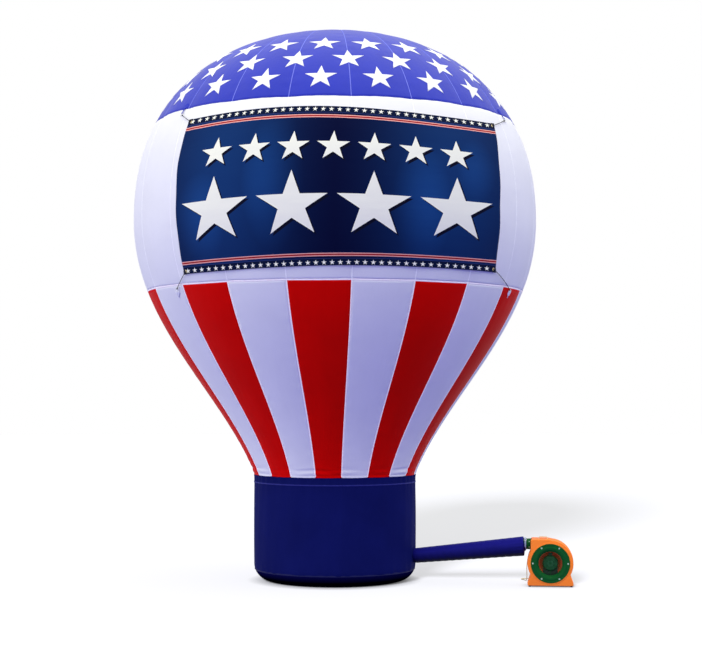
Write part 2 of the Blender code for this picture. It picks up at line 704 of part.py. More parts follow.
def terminal_box(frame):
    top = AXIS_HEIGHT + MOTOR_RADIUS
    block("terminal_box", (-0.022, -0.125, top + GAP), (0.022, -0.060, top + 0.028), "black_plastic",
          frame, bevel=0.003)


def impeller(frame):
    """The wheel: a back plate on a shaft, blades round its rim and a front ring, joined as one."""
    place = blower_part_place(0, WHEEL_BACK, AXIS_HEIGHT, "-Y")
    to_motor = WHEEL_BACK - MOTOR_BACK
    shaft_length = to_motor + BEARING_DEPTH - 0.005
    hub_length = to_motor - HUB_CLEARANCE
    profile = [(0, shaft_length), (SHAFT_RADIUS, shaft_length), (SHAFT_RADIUS, hub_length),
               (HUB_RADIUS, hub_length), (HUB_RADIUS, WHEEL_PLATE), (WHEEL_RADIUS, WHEEL_PLATE),
               (WHEEL_RADIUS, 0), (0, 0)]
    wheel = turned("impeller", profile, "brown_plastic", 36, closed=False, parent=frame, place=place)
    front_place = blower_part_place(0, WHEEL_FRONT + WHEEL_PLATE, AXIS_HEIGHT, "-Y")
    combine(wheel, ring("wheel_ring", WHEEL_EYE_RADIUS, WHEEL_RADIUS, WHEEL_PLATE, "brown_plastic", frame,
                        front_place), "UNION")
    blades = blade_row(frame)
    blades.matrix_local = place
    combine(wheel, blades, "UNION")


def blade_row(frame):
    """All blades as one mesh: thin curved plates, each an arc that leans forward."""
    shape = bmesh.new()
    inner = WHEEL_EYE_RADIUS + 0.006
    outer = WHEEL_RADIUS - 0.003
    steps = 3
    low = WHEEL_PLATE * 0.4
    high = WHEEL_BACK - WHEEL_FRONT - low
    for number in range(BLADES):
        base_angle = 2 * pi * number / BLADES
        loops = []
        for k in range(steps + 1):
            radius = inner + (outer - inner) * k / steps
            angle = base_angle + BLADE_SWEEP * (k / steps) ** 2
            middle = Vector((radius * cos(angle), radius * sin(angle), 0))
            across = Vector((-sin(angle), cos(angle), 0)) * BLADE_THICKNESS / 2
            loops.append([shape.verts.new(middle + side * across + Vector((0, 0, level)))
                          for side, level in ((-1, low), (1, low), (1, high), (-1, high))])
        shape.faces.new(loops[0])
        shape.faces.new(loops[-1][::-1])
        for one, two in zip(loops, loops[1:]):
            for j in range(4):
                shape.faces.new((one[j], one[(j + 1) % 4], two[(j + 1) % 4], two[j]))
    return add_object("blade_row", mesh_from(shape), "brown_plastic", frame)


def blower_feet(frame):
    """Four rubber feet under the pedestal's corners."""
    for side, x in (("left", -FOOT_X), ("right", FOOT_X)):
        for end, y in (("front", -FOOT_Y), ("back", FOOT_Y)):
            cylinder(f"foot_{end}_{side}", FOOT_RADIUS, FOOT_HEIGHT, "black_rubber", 16,
                     top_radius=FOOT_RADIUS * 0.85, parent=frame, place=Matrix.Translation((x, y, 0)))


def lifting_handle(frame):
    """The small cream carrying handle on the housing's top."""
    top = AXIS_HEIGHT + DUCT_TOP + GAP
    place = Matrix.Translation((-0.075, 0, top)) @ Matrix.Rotation(radians(90), 4, "X")
    extruded("carry_handle", handle_outline(), 0.022, "cream_plastic", frame, place)


def handle_outline():
    """Two feet and a flat grip over a low finger gap."""
    return [(0.055, 0.0), (0.055, 0.008), (0.040, 0.024), (-0.040, 0.024), (-0.055, 0.008), (-0.055, 0.0),
            (-0.038, 0.0), (-0.032, 0.015), (0.032, 0.015), (0.038, 0.0)]


def cord_gland(frame):
    """The strain relief on the housing's back, tapering towards the cord."""
    x, rise = GLAND_PLACE
    cylinder("cord_gland", 0.011, GLAND_LENGTH, "black_rubber", 16, top_radius=0.0055, parent=frame,
             place=blower_part_place(x, HOUSING_DEPTH / 2 + GAP, AXIS_HEIGHT + rise, "Y"))


def smooth_route(points, spacing):
    """Even steps along a Catmull-Rom curve through the points."""
    ends = [2 * points[0] - points[1], *points, 2 * points[-1] - points[-2]]
    fine = [points[0]]
    for a, b, c, d in zip(ends, ends[1:], ends[2:], ends[3:]):
        for k in range(1, 21):
            t = k / 20
            fine.append(0.5 * (2 * b + (c - a) * t + (2 * a - 5 * b + 4 * c - d) * t ** 2
                               + (3 * b - a - 3 * c + d) * t ** 3))
    lengths = [0.0]
    for start, end in zip(fine, fine[1:]):
        lengths.append(lengths[-1] + (end - start).length)
    count = round(lengths[-1] / spacing)
    route = []
    for k in range(count + 1):
        target = lengths[-1] * k / count
        index = next((i for i, done in enumerate(lengths) if done >= target), len(fine) - 1)
        index = max(index, 1)
        share = (target - lengths[index - 1]) / (lengths[index] - lengths[index - 1])
        route.append(fine[index - 1].lerp(fine[index], share))
    return route


def power_cord(frame):
    """The loose lead as a tube, its coil as a turned ring and its plug, behind the blower."""
    route = smooth_route([Vector(point) for point in CORD_ROUTE], 6 * CORD_RADIUS)
    tube("power_cord", route, CORD_RADIUS, "cord_jacket", 8, parent=frame)
    inner = COIL_TURN_RADIUS - 2 * CORD_RADIUS
    outer = COIL_TURN_RADIUS + 2 * CORD_RADIUS
    height = 4 * CORD_RADIUS
    profile = [(outer, height), (outer, 0.0), (inner, 0.0), (inner, height)]
    turned("cord_coil", profile, "cord_jacket", 36, parent=frame,
           place=Matrix.Translation((*COIL_CENTRE, 0.0001)))
    plug_x = COIL_CENTRE[0] + COIL_TURN_RADIUS
    plug_back = COIL_CENTRE[1] - PLUG_OFFSET
    block("plug", (plug_x - PLUG_HALF_WIDTH, plug_back - PLUG_LENGTH, 0.0001),
          (plug_x + PLUG_HALF_WIDTH, plug_back, PLUG_HEIGHT), "black_rubber", frame, bevel=0.0012)


def build():
    clear_scene()
    dome()
    mid_band()
    for number in range(GORES):
        stripe_gore(number)
    base_wall()
    base_boot()
    base_floor()
    banner()
    for side, azimuth, height in TIE_TABLE:
        banner_tie(side, azimuth, height)
    sleeve()
    frame = bpy.data.objects.new("blower_frame", None)
    bpy.data.collections["advertising_balloon"].objects.link(frame)
    frame.matrix_world = blower_matrix()
    sleeve_strap(frame)
    blower_housing(frame)
    outlet_collar(frame)
    inlet_cover(frame)
    inlet_grille(frame)
    motor(frame)
    motor_cradle(frame)
    terminal_box(frame)
    impeller(frame)
    blower_feet(frame)
    lifting_handle(frame)
    cord_gland(frame)
    power_cord(frame)
    bpy.context.view_layer.update()


build()
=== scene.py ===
"""Looks of an advertising cold-air balloon: its cloth envelope, drum base, banner, sleeve and blower."""
from math import asin, cos, degrees, hypot, pi, radians, sin

import bmesh
import bpy
import numpy as np
from mathutils import Matrix, Vector
from mathutils.geometry import interpolate_bezier


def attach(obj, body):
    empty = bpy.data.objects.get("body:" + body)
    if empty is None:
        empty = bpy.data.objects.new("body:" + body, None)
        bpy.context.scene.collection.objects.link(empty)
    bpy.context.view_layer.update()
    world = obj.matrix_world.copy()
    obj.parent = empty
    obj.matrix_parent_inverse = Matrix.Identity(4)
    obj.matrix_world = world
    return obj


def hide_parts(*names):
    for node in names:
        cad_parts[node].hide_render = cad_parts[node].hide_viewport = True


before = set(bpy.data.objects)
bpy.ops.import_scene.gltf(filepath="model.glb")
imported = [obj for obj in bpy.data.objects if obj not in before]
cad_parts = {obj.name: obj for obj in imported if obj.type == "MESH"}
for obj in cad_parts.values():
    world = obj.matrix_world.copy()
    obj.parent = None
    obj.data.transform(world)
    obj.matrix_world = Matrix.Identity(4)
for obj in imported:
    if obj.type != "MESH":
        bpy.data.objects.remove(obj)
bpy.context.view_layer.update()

# The camera, and the photograph's frame in pixels
PHOTO_WIDTH = 702
FOCAL_PIXELS = 1525
CAMERA_PLACE = (0.0, -17.144, 2.064)
CAMERA_PITCH = 2.309
CAMERA_YAW = 0.601

# The envelope's outline, as the frame has it
HEIGHT = 6.10
EQUATOR_HEIGHT = 3.985
EQUATOR_RADIUS = 2.252
CROWN_EXPONENT = 2.25
BASE_HEIGHT = 1.175
BASE_RADIUS = 0.90
NECK_SLOPE = 0.40
EQUATOR_HANDLE = 1.145
NECK_HANDLE = 0.915
DOME_SEAM_HEIGHT = 5.05
STRIPE_SEAM_HEIGHT = 3.20

# Gores and cloth
GORES = 20
GORE_ANGLE = 360 / GORES
FIRST_SEAM = 4.6
GORE_COLUMNS = 20
ROW_STEP = 0.030
HEM_STEPS = (0.003, 0.006, 0.009, 0.013, 0.018)
CLOTH = 0.002
PATCH_LIFT = 0.0030
CRINKLE_DEPTH = 0.0010
WEAVE_DEPTH = 0.00006
WEAVE_PITCH = 0.0025
LOBE_SHARE = 0.0055
CROWN_PATCH_RADIUS = 0.17

# Dome stars: height of each row, and how many gores it is turned by
STAR_RADIUS = 0.171
STAR_VALLEY = 0.382
STAR_ROWS = ((5.265, 0.5), (5.50, 0.0), (5.71, 0.5))

# Drum base
BASE_CORNER_RADIUS = 0.19
BOOT_SEAM_ANGLE = -17.0
BASE_HEM_HEIGHT = 1.095
TOP_WELT_HEIGHT = 1.168

# Banner: its edges on the envelope (azimuth in degrees, height in metres) and its print
BANNER_LEFT = -46.05
BANNER_RIGHT = 49.1
BANNER_LOW = 3.314
BANNER_HIGH = 4.893
BANNER_FLAT = (3.74, 1.63)
BANNER_LIFT = 0.0030
PRINT_WIDTH = 3.06
PRINT_HEIGHT = 1.63
EYELET_INSET = 0.030

# Banner ties: side, azimuth and height of the ring each runs to, its patch's colour and centre height
TIE_TABLE = (
    ("top_left", -51.2, 4.985, "blue_nylon", 5.085),
    ("top_right", 61.6, 4.985, "blue_nylon", 5.085),
    ("bottom_left", -52.6, 3.150, "white_nylon", 3.135),
    ("bottom_right", 63.6, 3.165, "white_nylon", 3.150),
)
PATCH_RADIUS = 0.038
RING_RADIUS = 0.020
RING_WIRE = 0.0025
ROPE_RADIUS = 0.0034
STRAND_RADIUS = ROPE_RADIUS * 0.55

# Blower, in its own frame: its axis runs along Y at AXIS_HEIGHT and its inlet faces -Y
BLOWER_PLACE = (2.33, -0.58)
BLOWER_YAW = -7.2
SEAT_GAP = 0.0003
AXIS_HEIGHT = 0.252
HOUSING_RADIUS = 0.245
HOUSING_WALL = 0.008
HOUSING_DEPTH = 0.30
HOUSING_ROUNDING = 0.006
CORNER_REACH = 0.024
BACK_RIBS = (0.060, 0.125, 0.185)
DUCT_FACE = -0.2095
DUCT_TOP = 0.253
DUCT_BOTTOM = 0.136
OUTLET_HEIGHT = AXIS_HEIGHT + (DUCT_TOP + DUCT_BOTTOM) / 2
WAIST_DROP = 0.125
PEDESTAL_HALF_WIDTH = 0.251
FOOT_HEIGHT = 0.013
FOOT_RADIUS = 0.014
FOOT_X = 0.222
FOOT_Y = 0.118
COLLAR_RADIUS = 0.058
COLLAR_WALL = 0.005
COLLAR_LENGTH = 0.085
COLLAR_SHOWS = 0.047
COVER_RADIUS = 0.209
COVER_THICKNESS = 0.012
EYE_RADIUS = 0.128
GRILLE_SETBACK = 0.0192
GRILLE_WIRE = 0.0014
GRILLE_RINGS = (0.1262, 0.113, 0.100, 0.086, 0.072, 0.058, 0.044)
MOTOR_RADIUS = 0.083
MOTOR_FRONT = -0.128
MOTOR_BACK = 0.007
GLAND_PLACE = (-0.17, 0.13)
GLAND_LENGTH = 0.040
SCREW_CIRCLE = 0.188

# Sleeve
SLEEVE_AZIMUTH = 77.0
SLEEVE_HEIGHT = 0.305
SLEEVE_BASE_RADIUS = 0.079
SLEEVE_END_RADIUS = 0.104
SLEEVE_CUFF_RADIUS = 0.064
SLEEVE_COLUMNS = 144
SLEEVE_FACE = 0.030
SLEEVE_SAG = 0.015

# Power cord, in the blower's frame
CORD_RADIUS = 0.004
CORD_LEVEL = CORD_RADIUS + 0.0002
COIL_CENTRE = (0.02, 0.42)
COIL_MIDDLE = 0.044
PLUG_PLACE = (0.064, 0.3786)
CORD_ROUTE = (
    (-0.170, 0.1906, 0.382), (-0.170, 0.218, 0.381), (-0.179, 0.246, 0.371), (-0.203, 0.268, 0.342),
    (-0.230, 0.281, 0.295), (-0.246, 0.288, 0.232), (-0.252, 0.296, 0.165), (-0.253, 0.310, 0.105),
    (-0.252, 0.336, 0.052), (-0.255, 0.376, 0.015), (-0.266, 0.420, CORD_LEVEL),
    (-0.289, 0.462, CORD_LEVEL), (-0.312, 0.505, CORD_LEVEL), (-0.306, 0.552, CORD_LEVEL),
    (-0.266, 0.575, CORD_LEVEL), (-0.218, 0.564, CORD_LEVEL), (-0.165, 0.530, CORD_LEVEL),
    (-0.110, 0.491, CORD_LEVEL), (-0.060, 0.469, CORD_LEVEL), (-0.0135, 0.464, CORD_LEVEL),
)
# The coil's lay: turns done, radius and height of the cord's middle
COIL_LAY = (
    (0.00, 0.0440, 0.0042), (0.15, 0.0480, 0.0042), (0.80, 0.0480, 0.0042), (1.00, 0.0480, 0.0122),
    (1.25, 0.0400, 0.0046), (1.80, 0.0400, 0.0042), (2.00, 0.0362, 0.0042), (2.25, 0.0402, 0.0122),
    (3.00, 0.0400, 0.0126), (3.125, 0.0425, 0.0150), (3.25, 0.0475, 0.0130),
)
COIL_STEPS_PER_TURN = 24

# Colours, linear red, green and blue
WHITE_CLOTH = (0.86, 0.86, 0.87)
RED_CLOTH = (0.77, 0.0, 0.0)
BLUE_CLOTH = (0.020, 0.034, 0.44)
NAVY_CLOTH = (0.005, 0.008, 0.090)
SLEEVE_CLOTH = (0.009, 0.009, 0.190)
BOOT_CLOTH = (0.004, 0.004, 0.058)
SEAM_WHITE = (0.93, 0.93, 0.95)
SEAM_PINK = (0.97, 0.84, 0.86)
# Dome seam tape: a real tape, its colour lightened by a painted sheen along the seams
SEAM_BLUE_PAINTED_SHEEN = (0.18, 0.21, 0.72)
ORANGE = (1.0, 0.235, 0.022)
MOULDED_GREEN = (0.002, 0.088, 0.016)
MOTOR_GREEN = (0.013, 0.088, 0.032)
WHEEL_BROWN = (0.90, 0.190, 0.075)
CREAM = (0.75, 0.66, 0.45)
CORD_CREAM = (0.78, 0.58, 0.18)
BLACK = (0.012, 0.012, 0.014)
PRINT_NAVY = (0.002, 0.003, 0.027)
PRINT_GLOW = (0.010, 0.058, 0.215)
PRINT_BLACK = (0.004, 0.005, 0.016)
STRIP_NAVY = (0.004, 0.009, 0.036)
PRINT_STAR = (0.95, 0.95, 0.78)
PRINT_RED = (0.40, 0.016, 0.016)
PRINT_PINK = (0.92, 0.44, 0.37)
PRINT_EDGE = (0.030, 0.045, 0.160)


# Materials

class Nodes:
    """A node tree, with short calls for the nodes used here."""

    def __init__(self, tree):
        self.tree = tree

    def set(self, node, socket, value):
        if isinstance(value, bpy.types.NodeSocket):
            self.tree.links.new(value, node.inputs[socket])
        else:
            node.inputs[socket].default_value = value

    def node(self, kind, **sockets):
        """A new node with its named sockets set or linked, where an underscore stands for a space."""
        made = self.tree.nodes.new("ShaderNode" + kind)
        for socket, value in sockets.items():
            self.set(made, socket.replace("_", " "), value)
        return made

    def math(self, operation, *values, kind="Math"):
        made = self.node(kind)
        made.operation = operation
        for number, value in enumerate(values):
            self.set(made, number, value)
        return made.outputs["Value" if operation == "DOT_PRODUCT" else 0]

    def mix(self, share, one, two):
        made = self.node("Mix")
        made.data_type = "RGBA"
        for number, value in zip((0, 6, 7), (share, one, two)):
            self.set(made, number, (*value, 1) if isinstance(value, tuple) else value)
        return made.outputs[2]

    def ramp(self, value, low, high, to_low=0.0, to_high=1.0):
        return self.node("MapRange", Value=value, From_Min=low, From_Max=high, To_Min=to_low,
                         To_Max=to_high).outputs[0]

    def coordinates(self, kind):
        return self.node("TexCoord").outputs[kind]

    def scaled(self, coordinates, scale):
        return self.node("Mapping", Vector=coordinates, Scale=scale).outputs[0]

    def noise(self, coordinates, scale, detail=3.0):
        return self.node("TexNoise", Vector=coordinates, Scale=scale, Detail=detail).outputs["Fac"]

    def wave(self, coordinates, period, direction):
        """Bands that repeat with the period, in metres. At a scale of 1 they are 0.314 apart."""
        made = self.node("TexWave", Vector=coordinates, Scale=0.314 / period)
        made.bands_direction = direction
        return made.outputs["Fac"]


class Shader(Nodes):
    """One material: its nodes, its surface and the bumps laid on it so far."""

    def __init__(self, name, colour, roughness, metallic=0.0, sheen=0.0, gloss=0.5):
        self.material = bpy.data.materials.new(name)
        self.material.use_nodes = True
        super().__init__(self.material.node_tree)
        self.surface = self.tree.nodes["Principled BSDF"]
        self.relief = None
        self.look(Base_Color=(*colour, 1), Roughness=roughness, Metallic=metallic, Specular_IOR_Level=gloss,
                  Sheen_Weight=sheen, Sheen_Roughness=0.4)

    def look(self, **sockets):
        """Sets or links sockets of the surface."""
        for socket, value in sockets.items():
            self.set(self.surface, socket.replace("_", " "), value)

    def bump(self, height, distance):
        """Adds a height, in metres at full value, on top of the bumps already there."""
        made = self.node("Bump", Height=height, Distance=distance)
        if self.relief is not None:
            self.set(made, "Normal", self.relief)
        self.relief = made.outputs[0]
        self.look(Normal=self.relief)


def mottled(shader, colour, coordinates, scale, spread):
    """The colour, lighter and darker by the spread in soft patches."""
    light = tuple(min(channel * (1 + spread), 1.0) for channel in colour)
    dark = tuple(channel * (1 - spread) for channel in colour)
    patches = shader.ramp(shader.noise(coordinates, scale), 0.3, 0.7)
    return shader.mix(patches, dark, light)


def cloth_material(name, colour, roughness=0.55, sheen=0.0, crease=0.004, spread=0.05, gloss=0.12):
    """Coated nylon: soft colour patches, long pull creases, a fine crinkle and a plain weave."""
    shader = Shader(name, colour, roughness, sheen=sheen, gloss=gloss)
    flat = shader.coordinates("UV")
    shader.look(Base_Color=mottled(shader, colour, flat, 2.2, spread))
    shader.bump(shader.noise(shader.scaled(flat, (5.0, 1.2, 1.0)), 1.6, 4.0), crease)
    shader.bump(shader.noise(flat, 24.0, 5.0), CRINKLE_DEPTH)
    weave = shader.math("MULTIPLY", shader.wave(flat, WEAVE_PITCH, "X"), shader.wave(flat, WEAVE_PITCH, "Y"))
    shader.bump(weave, WEAVE_DEPTH)
    return shader.material


def painted_shade_cloth_material(name, colour, roughness, gloss, turned_down, painted_shade_share):
    """Coated nylon with painted shade: darker where it turns down to the floor, between two heights of its
    normal.
    """
    shader = Shader(name, colour, roughness, gloss=gloss)
    flat = shader.coordinates("UV")
    normal = shader.node("NewGeometry").outputs["Normal"]
    upward = shader.node("SeparateXYZ", Vector=normal).outputs[2]
    # Painted shade: a darker copy of the colour, which the cloth takes on where its normal turns down
    dark = tuple(channel * painted_shade_share for channel in colour)
    lit = shader.ramp(upward, *turned_down)
    shader.look(Base_Color=shader.mix(lit, dark, mottled(shader, colour, flat, 6.0, 0.08)))
    shader.bump(shader.noise(shader.scaled(flat, (4.0, 1.0, 1.0)), 3.0, 4.0), 0.0015)
    shader.bump(shader.noise(flat, 40.0, 4.0), 0.0006)
    return shader.material


def webbing_material(name, colour, painted_seam_glow=0.0):
    """Woven tape: a fine grain, a little gloss, and a painted glow that makes it lighter than the light on it
    gives.
    """
    shader = Shader(name, colour, 0.6, gloss=0.1)
    place = shader.coordinates("Object")
    shader.look(Base_Color=mottled(shader, colour, place, 30.0, 0.08), Emission_Color=(1.0, 0.97, 1.0, 1.0),
                Emission_Strength=painted_seam_glow)
    shader.bump(shader.noise(place, 260.0), 0.0006)
    return shader.material


def plastic_material(name, colour, roughness=0.38, grain=0.0003, gloss=0.14, painted_glow=0.0):
    """Moulded plastic: fine grain, faint flow marks and handling scuffs in the gloss."""
    shader = Shader(name, colour, roughness, gloss=gloss)
    place = shader.coordinates("Object")
    scuffs = shader.ramp(shader.noise(place, 40.0, 6.0), 0.45, 0.75, roughness, roughness + 0.25)
    # Painted glow: an emission in the plastic's own colour brightens it beyond the light on it
    shader.look(Base_Color=mottled(shader, colour, place, 9.0, 0.06), Roughness=scuffs,
                Emission_Color=(*colour, 1.0), Emission_Strength=painted_glow)
    shader.bump(shader.noise(place, 420.0), grain)
    return shader.material


def metal_material(name, colour):
    """Bright metal with faint rubbed patches."""
    shader = Shader(name, colour, 0.3, metallic=1.0)
    place = shader.coordinates("Object")
    shader.look(Roughness=shader.ramp(shader.noise(place, 90.0), 0.3, 0.7, 0.3, 0.5))
    shader.bump(shader.noise(place, 300.0), 0.0001)
    return shader.material


def star_inside(shader, x, y, radius):
    """1 inside a five-pointed star about the origin, 0 outside, with one tip up."""
    sector = 2 * pi / 5
    squared = shader.math("ADD", shader.math("MULTIPLY", x, x), shader.math("MULTIPLY", y, y))
    angle = shader.math("ADD", shader.math("ARCTAN2", x, y), 2 * pi + sector / 2)
    turned = shader.math("SUBTRACT", shader.math("MODULO", angle, sector), sector / 2)
    to_side = shader.math("SUBTRACT", shader.math("ABSOLUTE", turned), sector)
    reach = shader.math("MULTIPLY", shader.math("SQRT", squared), shader.math("COSINE", to_side))
    return shader.math("LESS_THAN", reach, radius * cos(sector))


def between(shader, value, low, high):
    return shader.math("MULTIPLY", shader.math("GREATER_THAN", value, low),
                       shader.math("LESS_THAN", value, high))


def glow(shader, x, y, centre, size):
    """A soft round patch: 1 at its centre, fading out over its size."""
    across = shader.math("DIVIDE", shader.math("SUBTRACT", x, centre[0]), size[0])
    up = shader.math("DIVIDE", shader.math("SUBTRACT", y, centre[1]), size[1])
    squared = shader.math("ADD", shader.math("MULTIPLY", across, across), shader.math("MULTIPLY", up, up))
    return shader.math("EXPONENT", shader.math("MULTIPLY", squared, -1.0))


# Rows of stars on the banner: middle's height on the print, first star, pitch, count and star radius
PRINT_STRIPS = ((PRINT_HEIGHT - 0.031, 0.045, 0.0795, 38, 0.027), (0.029, 0.047, 0.0770, 39, 0.027))
PRINT_ROWS = ((1.205, 0.40, 0.375, 7, 0.160), (0.610, 0.40, 0.750, 4, 0.350))
SHADOW_SHIFT = (0.020, -0.024)
# Pinstripes inside each strip: their depth from the banner's edge and their colour
PINSTRIPES = ((0.066, 0.071, PRINT_EDGE), (0.090, 0.099, PRINT_PINK), (0.099, 0.114, PRINT_RED),
              (0.114, 0.123, PRINT_PINK))
# Lighter patches of the field: middle, size and strength
PRINT_LIGHTS = (((0.46, 0.95), (0.62, 1.60), 0.62), ((0.30, 0.60), (0.30, 0.60), 0.95),
                ((0.85, 0.90), (0.30, 0.75), 0.80), ((2.62, 0.90), (0.62, 1.60), 0.60),
                ((2.40, 0.70), (0.30, 0.75), 0.95), ((2.80, 1.05), (0.25, 0.50), 0.85))


def star_row(shader, x, y, colour, row, paint, shift=(0.0, 0.0)):
    """Paints a row of stars over the colour: a star's place repeats with the row's pitch."""
    middle, first, pitch, count, radius = row
    along = shader.math("SUBTRACT", x, first + shift[0] - pitch / 2)
    star_x = shader.math("SUBTRACT", shader.math("MODULO", along, pitch), pitch / 2)
    star_y = shader.math("SUBTRACT", y, middle + shift[1])
    on_row = between(shader, along, 0.0, count * pitch)
    inside = shader.math("MULTIPLY", star_inside(shader, star_x, star_y, radius), on_row)
    return shader.mix(inside, colour, paint)


def banner_material():
    """Printed vinyl: a glowing navy field, star strips with pinstripes, and two rows of big stars."""
    shader = Shader("banner_vinyl_print", PRINT_NAVY, 0.50, gloss=0.015)
    flat = shader.coordinates("UV")
    place = shader.node("SeparateXYZ", Vector=flat)
    x, y = place.outputs[0], place.outputs[1]
    share = 0.0
    for centre, size, strength in PRINT_LIGHTS:
        patch = shader.math("MULTIPLY", glow(shader, x, y, centre, size), strength)
        share = shader.math("MAXIMUM", share, patch)
    colour = shader.mix(share, PRINT_NAVY, PRINT_GLOW)
    for row in PRINT_ROWS:
        colour = star_row(shader, x, y, colour, row, PRINT_BLACK, SHADOW_SHIFT)
        colour = star_row(shader, x, y, colour, row, PRINT_STAR)
    for strip, edge, inward in zip(PRINT_STRIPS, (PRINT_HEIGHT, 0.0), (-1, 1)):
        depth = shader.math("MULTIPLY", shader.math("SUBTRACT", y, edge), inward)
        colour = shader.mix(shader.math("LESS_THAN", depth, PINSTRIPES[0][0]), colour, STRIP_NAVY)
        for low, high, paint in PINSTRIPES:
            colour = shader.mix(between(shader, depth, low, high), colour, paint)
        colour = star_row(shader, x, y, colour, strip, PRINT_STAR)
    shader.look(Base_Color=colour)
    shader.bump(shader.noise(shader.scaled(flat, (1.0, 3.0, 1.0)), 3.0), 0.004)
    shader.bump(shader.noise(flat, 60.0), 0.0003)
    return shader.material


# Meshes

def add_piece(name, mesh, material, replaced=(), body="balloon"):
    """A piece on its body, with its material and the nodes it stands for."""
    piece = bpy.data.objects.new(name, mesh)
    bpy.context.scene.collection.objects.link(piece)
    piece.data.materials.append(material)
    piece.data.shade_smooth()
    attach(piece, body)
    if replaced:
        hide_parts(*replaced)
    return piece


def grid_mesh(name, points, uvs, closed=False):
    """A mesh over rows and columns of points, with their flat coordinates in metres as UVs.

    Its faces point out where rows rise and columns run to the right.
    """
    rows, columns = points.shape[:2]
    if closed:
        whole_turn = uvs[0, -1, 0] + uvs[0, 1, 0] - 2 * uvs[0, 0, 0]
        uvs = np.concatenate([uvs, uvs[:, :1] + (whole_turn, 0.0)], axis=1)
    faces = [(i * columns + j, i * columns + (j + 1) % columns,
              (i + 1) * columns + (j + 1) % columns, (i + 1) * columns + j)
             for i in range(rows - 1) for j in range(columns if closed else columns - 1)]
    mesh = bpy.data.meshes.new(name)
    mesh.from_pydata(points.reshape(-1, 3).tolist(), [], faces)
    corners = np.stack([uvs[:-1, :-1], uvs[:-1, 1:], uvs[1:, 1:], uvs[1:, :-1]], axis=2)
    mesh.uv_layers.new(name="flat").data.foreach_set("uv", corners.ravel())
    return mesh


def join_meshes(name, meshes):
    shape = bmesh.new()
    for mesh in meshes:
        shape.from_mesh(mesh)
        bpy.data.meshes.remove(mesh)
    joined = bpy.data.meshes.new(name)
    shape.to_mesh(joined)
    shape.free()
    return joined


def thicken(piece, thickness):
    """Gives a cloth piece its thickness, inwards from its outside."""
    wall = piece.modifiers.new("thickness", "SOLIDIFY")
    wall.thickness = thickness
    wall.offset = -1


# Small solid shapes, built as bmeshes about their own axes

def circle(radius, steps):
    return [(radius * cos(2 * pi * k / steps), radius * sin(2 * pi * k / steps)) for k in range(steps)]


def bridge(shape, rings, closed):
    """Faces between each ring of vertices and the next. A ring may be a single vertex."""
    for one, two in zip(rings, rings[1:] + (rings[:1] if closed else [])):
        for k in range(max(len(one), len(two))):
            corners = (one[k % len(one)], one[(k + 1) % len(one)], two[(k + 1) % len(two)], two[k % len(two)])
            corners = list(dict.fromkeys(corners))
            if len(corners) > 2:
                shape.faces.new(corners)


def turned_shape(profile, steps=72, closed=True):
    """A shape turned about Z from (radius, height) points, which may start and end on the axis."""
    shape = bmesh.new()
    rings = [[shape.verts.new((x, y, height)) for x, y in circle(radius, steps if radius > 0 else 1)]
             for radius, height in profile]
    bridge(shape, rings, closed)
    return shape


def box_shape(low, high, rounding, steps=3):
    """A box between two corners, with rounded edges."""
    size = [b - a for a, b in zip(low, high)]
    middle = [(a + b) / 2 for a, b in zip(low, high)]
    shape = bmesh.new()
    bmesh.ops.create_cube(shape, size=1.0, matrix=Matrix.Translation(middle) @ Matrix.Diagonal((*size, 1)))
    bmesh.ops.bevel(shape, geom=shape.edges[:], offset=rounding, segments=steps, profile=0.5,
                    affect="EDGES")
    return shape


def tube_shape(route, radii, sides, closed=False):
    """A round tube along a route, with one radius for all points or one for each."""
    count = len(route)
    if isinstance(radii, float):
        radii = [radii] * count
    shape = bmesh.new()
    rings = []
    across = None
    for k, place in enumerate(route):
        before = route[(k - 1) % count] if closed or k else place
        after = route[(k + 1) % count] if closed or k < count - 1 else place
        along = (after - before).normalized()
        across = along.orthogonal() if across is None else across - along * across.dot(along)
        across.normalize()
        other = along.cross(across)
        rings.append([shape.verts.new(place + radii[k] * (x * across + y * other))
                      for x, y in circle(1, sides)])
    bridge(shape, rings, closed)
    if not closed:
        shape.faces.new(rings[0][::-1])
        shape.faces.new(rings[-1])
    return shape


def hoop_shape(radius, wire, steps=72, sides=10):
    """A round wire bent into a hoop about Z."""
    return turned_shape([(radius + x, y) for x, y in circle(wire, sides)], steps)


def slab_shape(outline, depth, rounding, steps):
    """An (x, y) outline given depth along Z, half to each side, with its rims and corners rounded."""
    shape = bmesh.new()
    face = shape.faces.new([shape.verts.new((x, y, -depth / 2)) for x, y in outline])
    raised = bmesh.ops.extrude_face_region(shape, geom=[face])["geom"]
    top = [item for item in raised if isinstance(item, bmesh.types.BMVert)]
    bmesh.ops.translate(shape, vec=(0, 0, depth), verts=top)
    bmesh.ops.recalc_face_normals(shape, faces=shape.faces[:])
    sharp = [edge for edge in shape.edges if edge.calc_face_angle(0) > radians(30)]
    bmesh.ops.bevel(shape, geom=sharp, offset=rounding, segments=steps, profile=0.5, affect="EDGES")
    return shape


def arc(centre, radius, start, end, steps):
    """Points of an arc, from the start to the end angle in degrees."""
    angles = [radians(start + (end - start) * k / steps) for k in range(steps + 1)]
    return [(centre[0] + radius * cos(angle), centre[1] + radius * sin(angle)) for angle in angles]


def mesh_of(shape, place):
    """The shape as a mesh, with its faces pointing out, moved to its place."""
    bmesh.ops.recalc_face_normals(shape, faces=shape.faces[:])
    bmesh.ops.transform(shape, matrix=place, verts=shape.verts[:])
    mesh = bpy.data.meshes.new("shape")
    shape.to_mesh(mesh)
    shape.free()
    return mesh


def solid_piece(name, placed_shapes, material, replaced=(), angle=35):
    """One piece from (shape, place) pairs, smooth but for its sharp edges."""
    mesh = join_meshes(name, [mesh_of(shape, place) for shape, place in placed_shapes])
    piece = add_piece(name, mesh, material, replaced)
    mesh.set_sharp_from_angle(angle=radians(angle))
    return piece


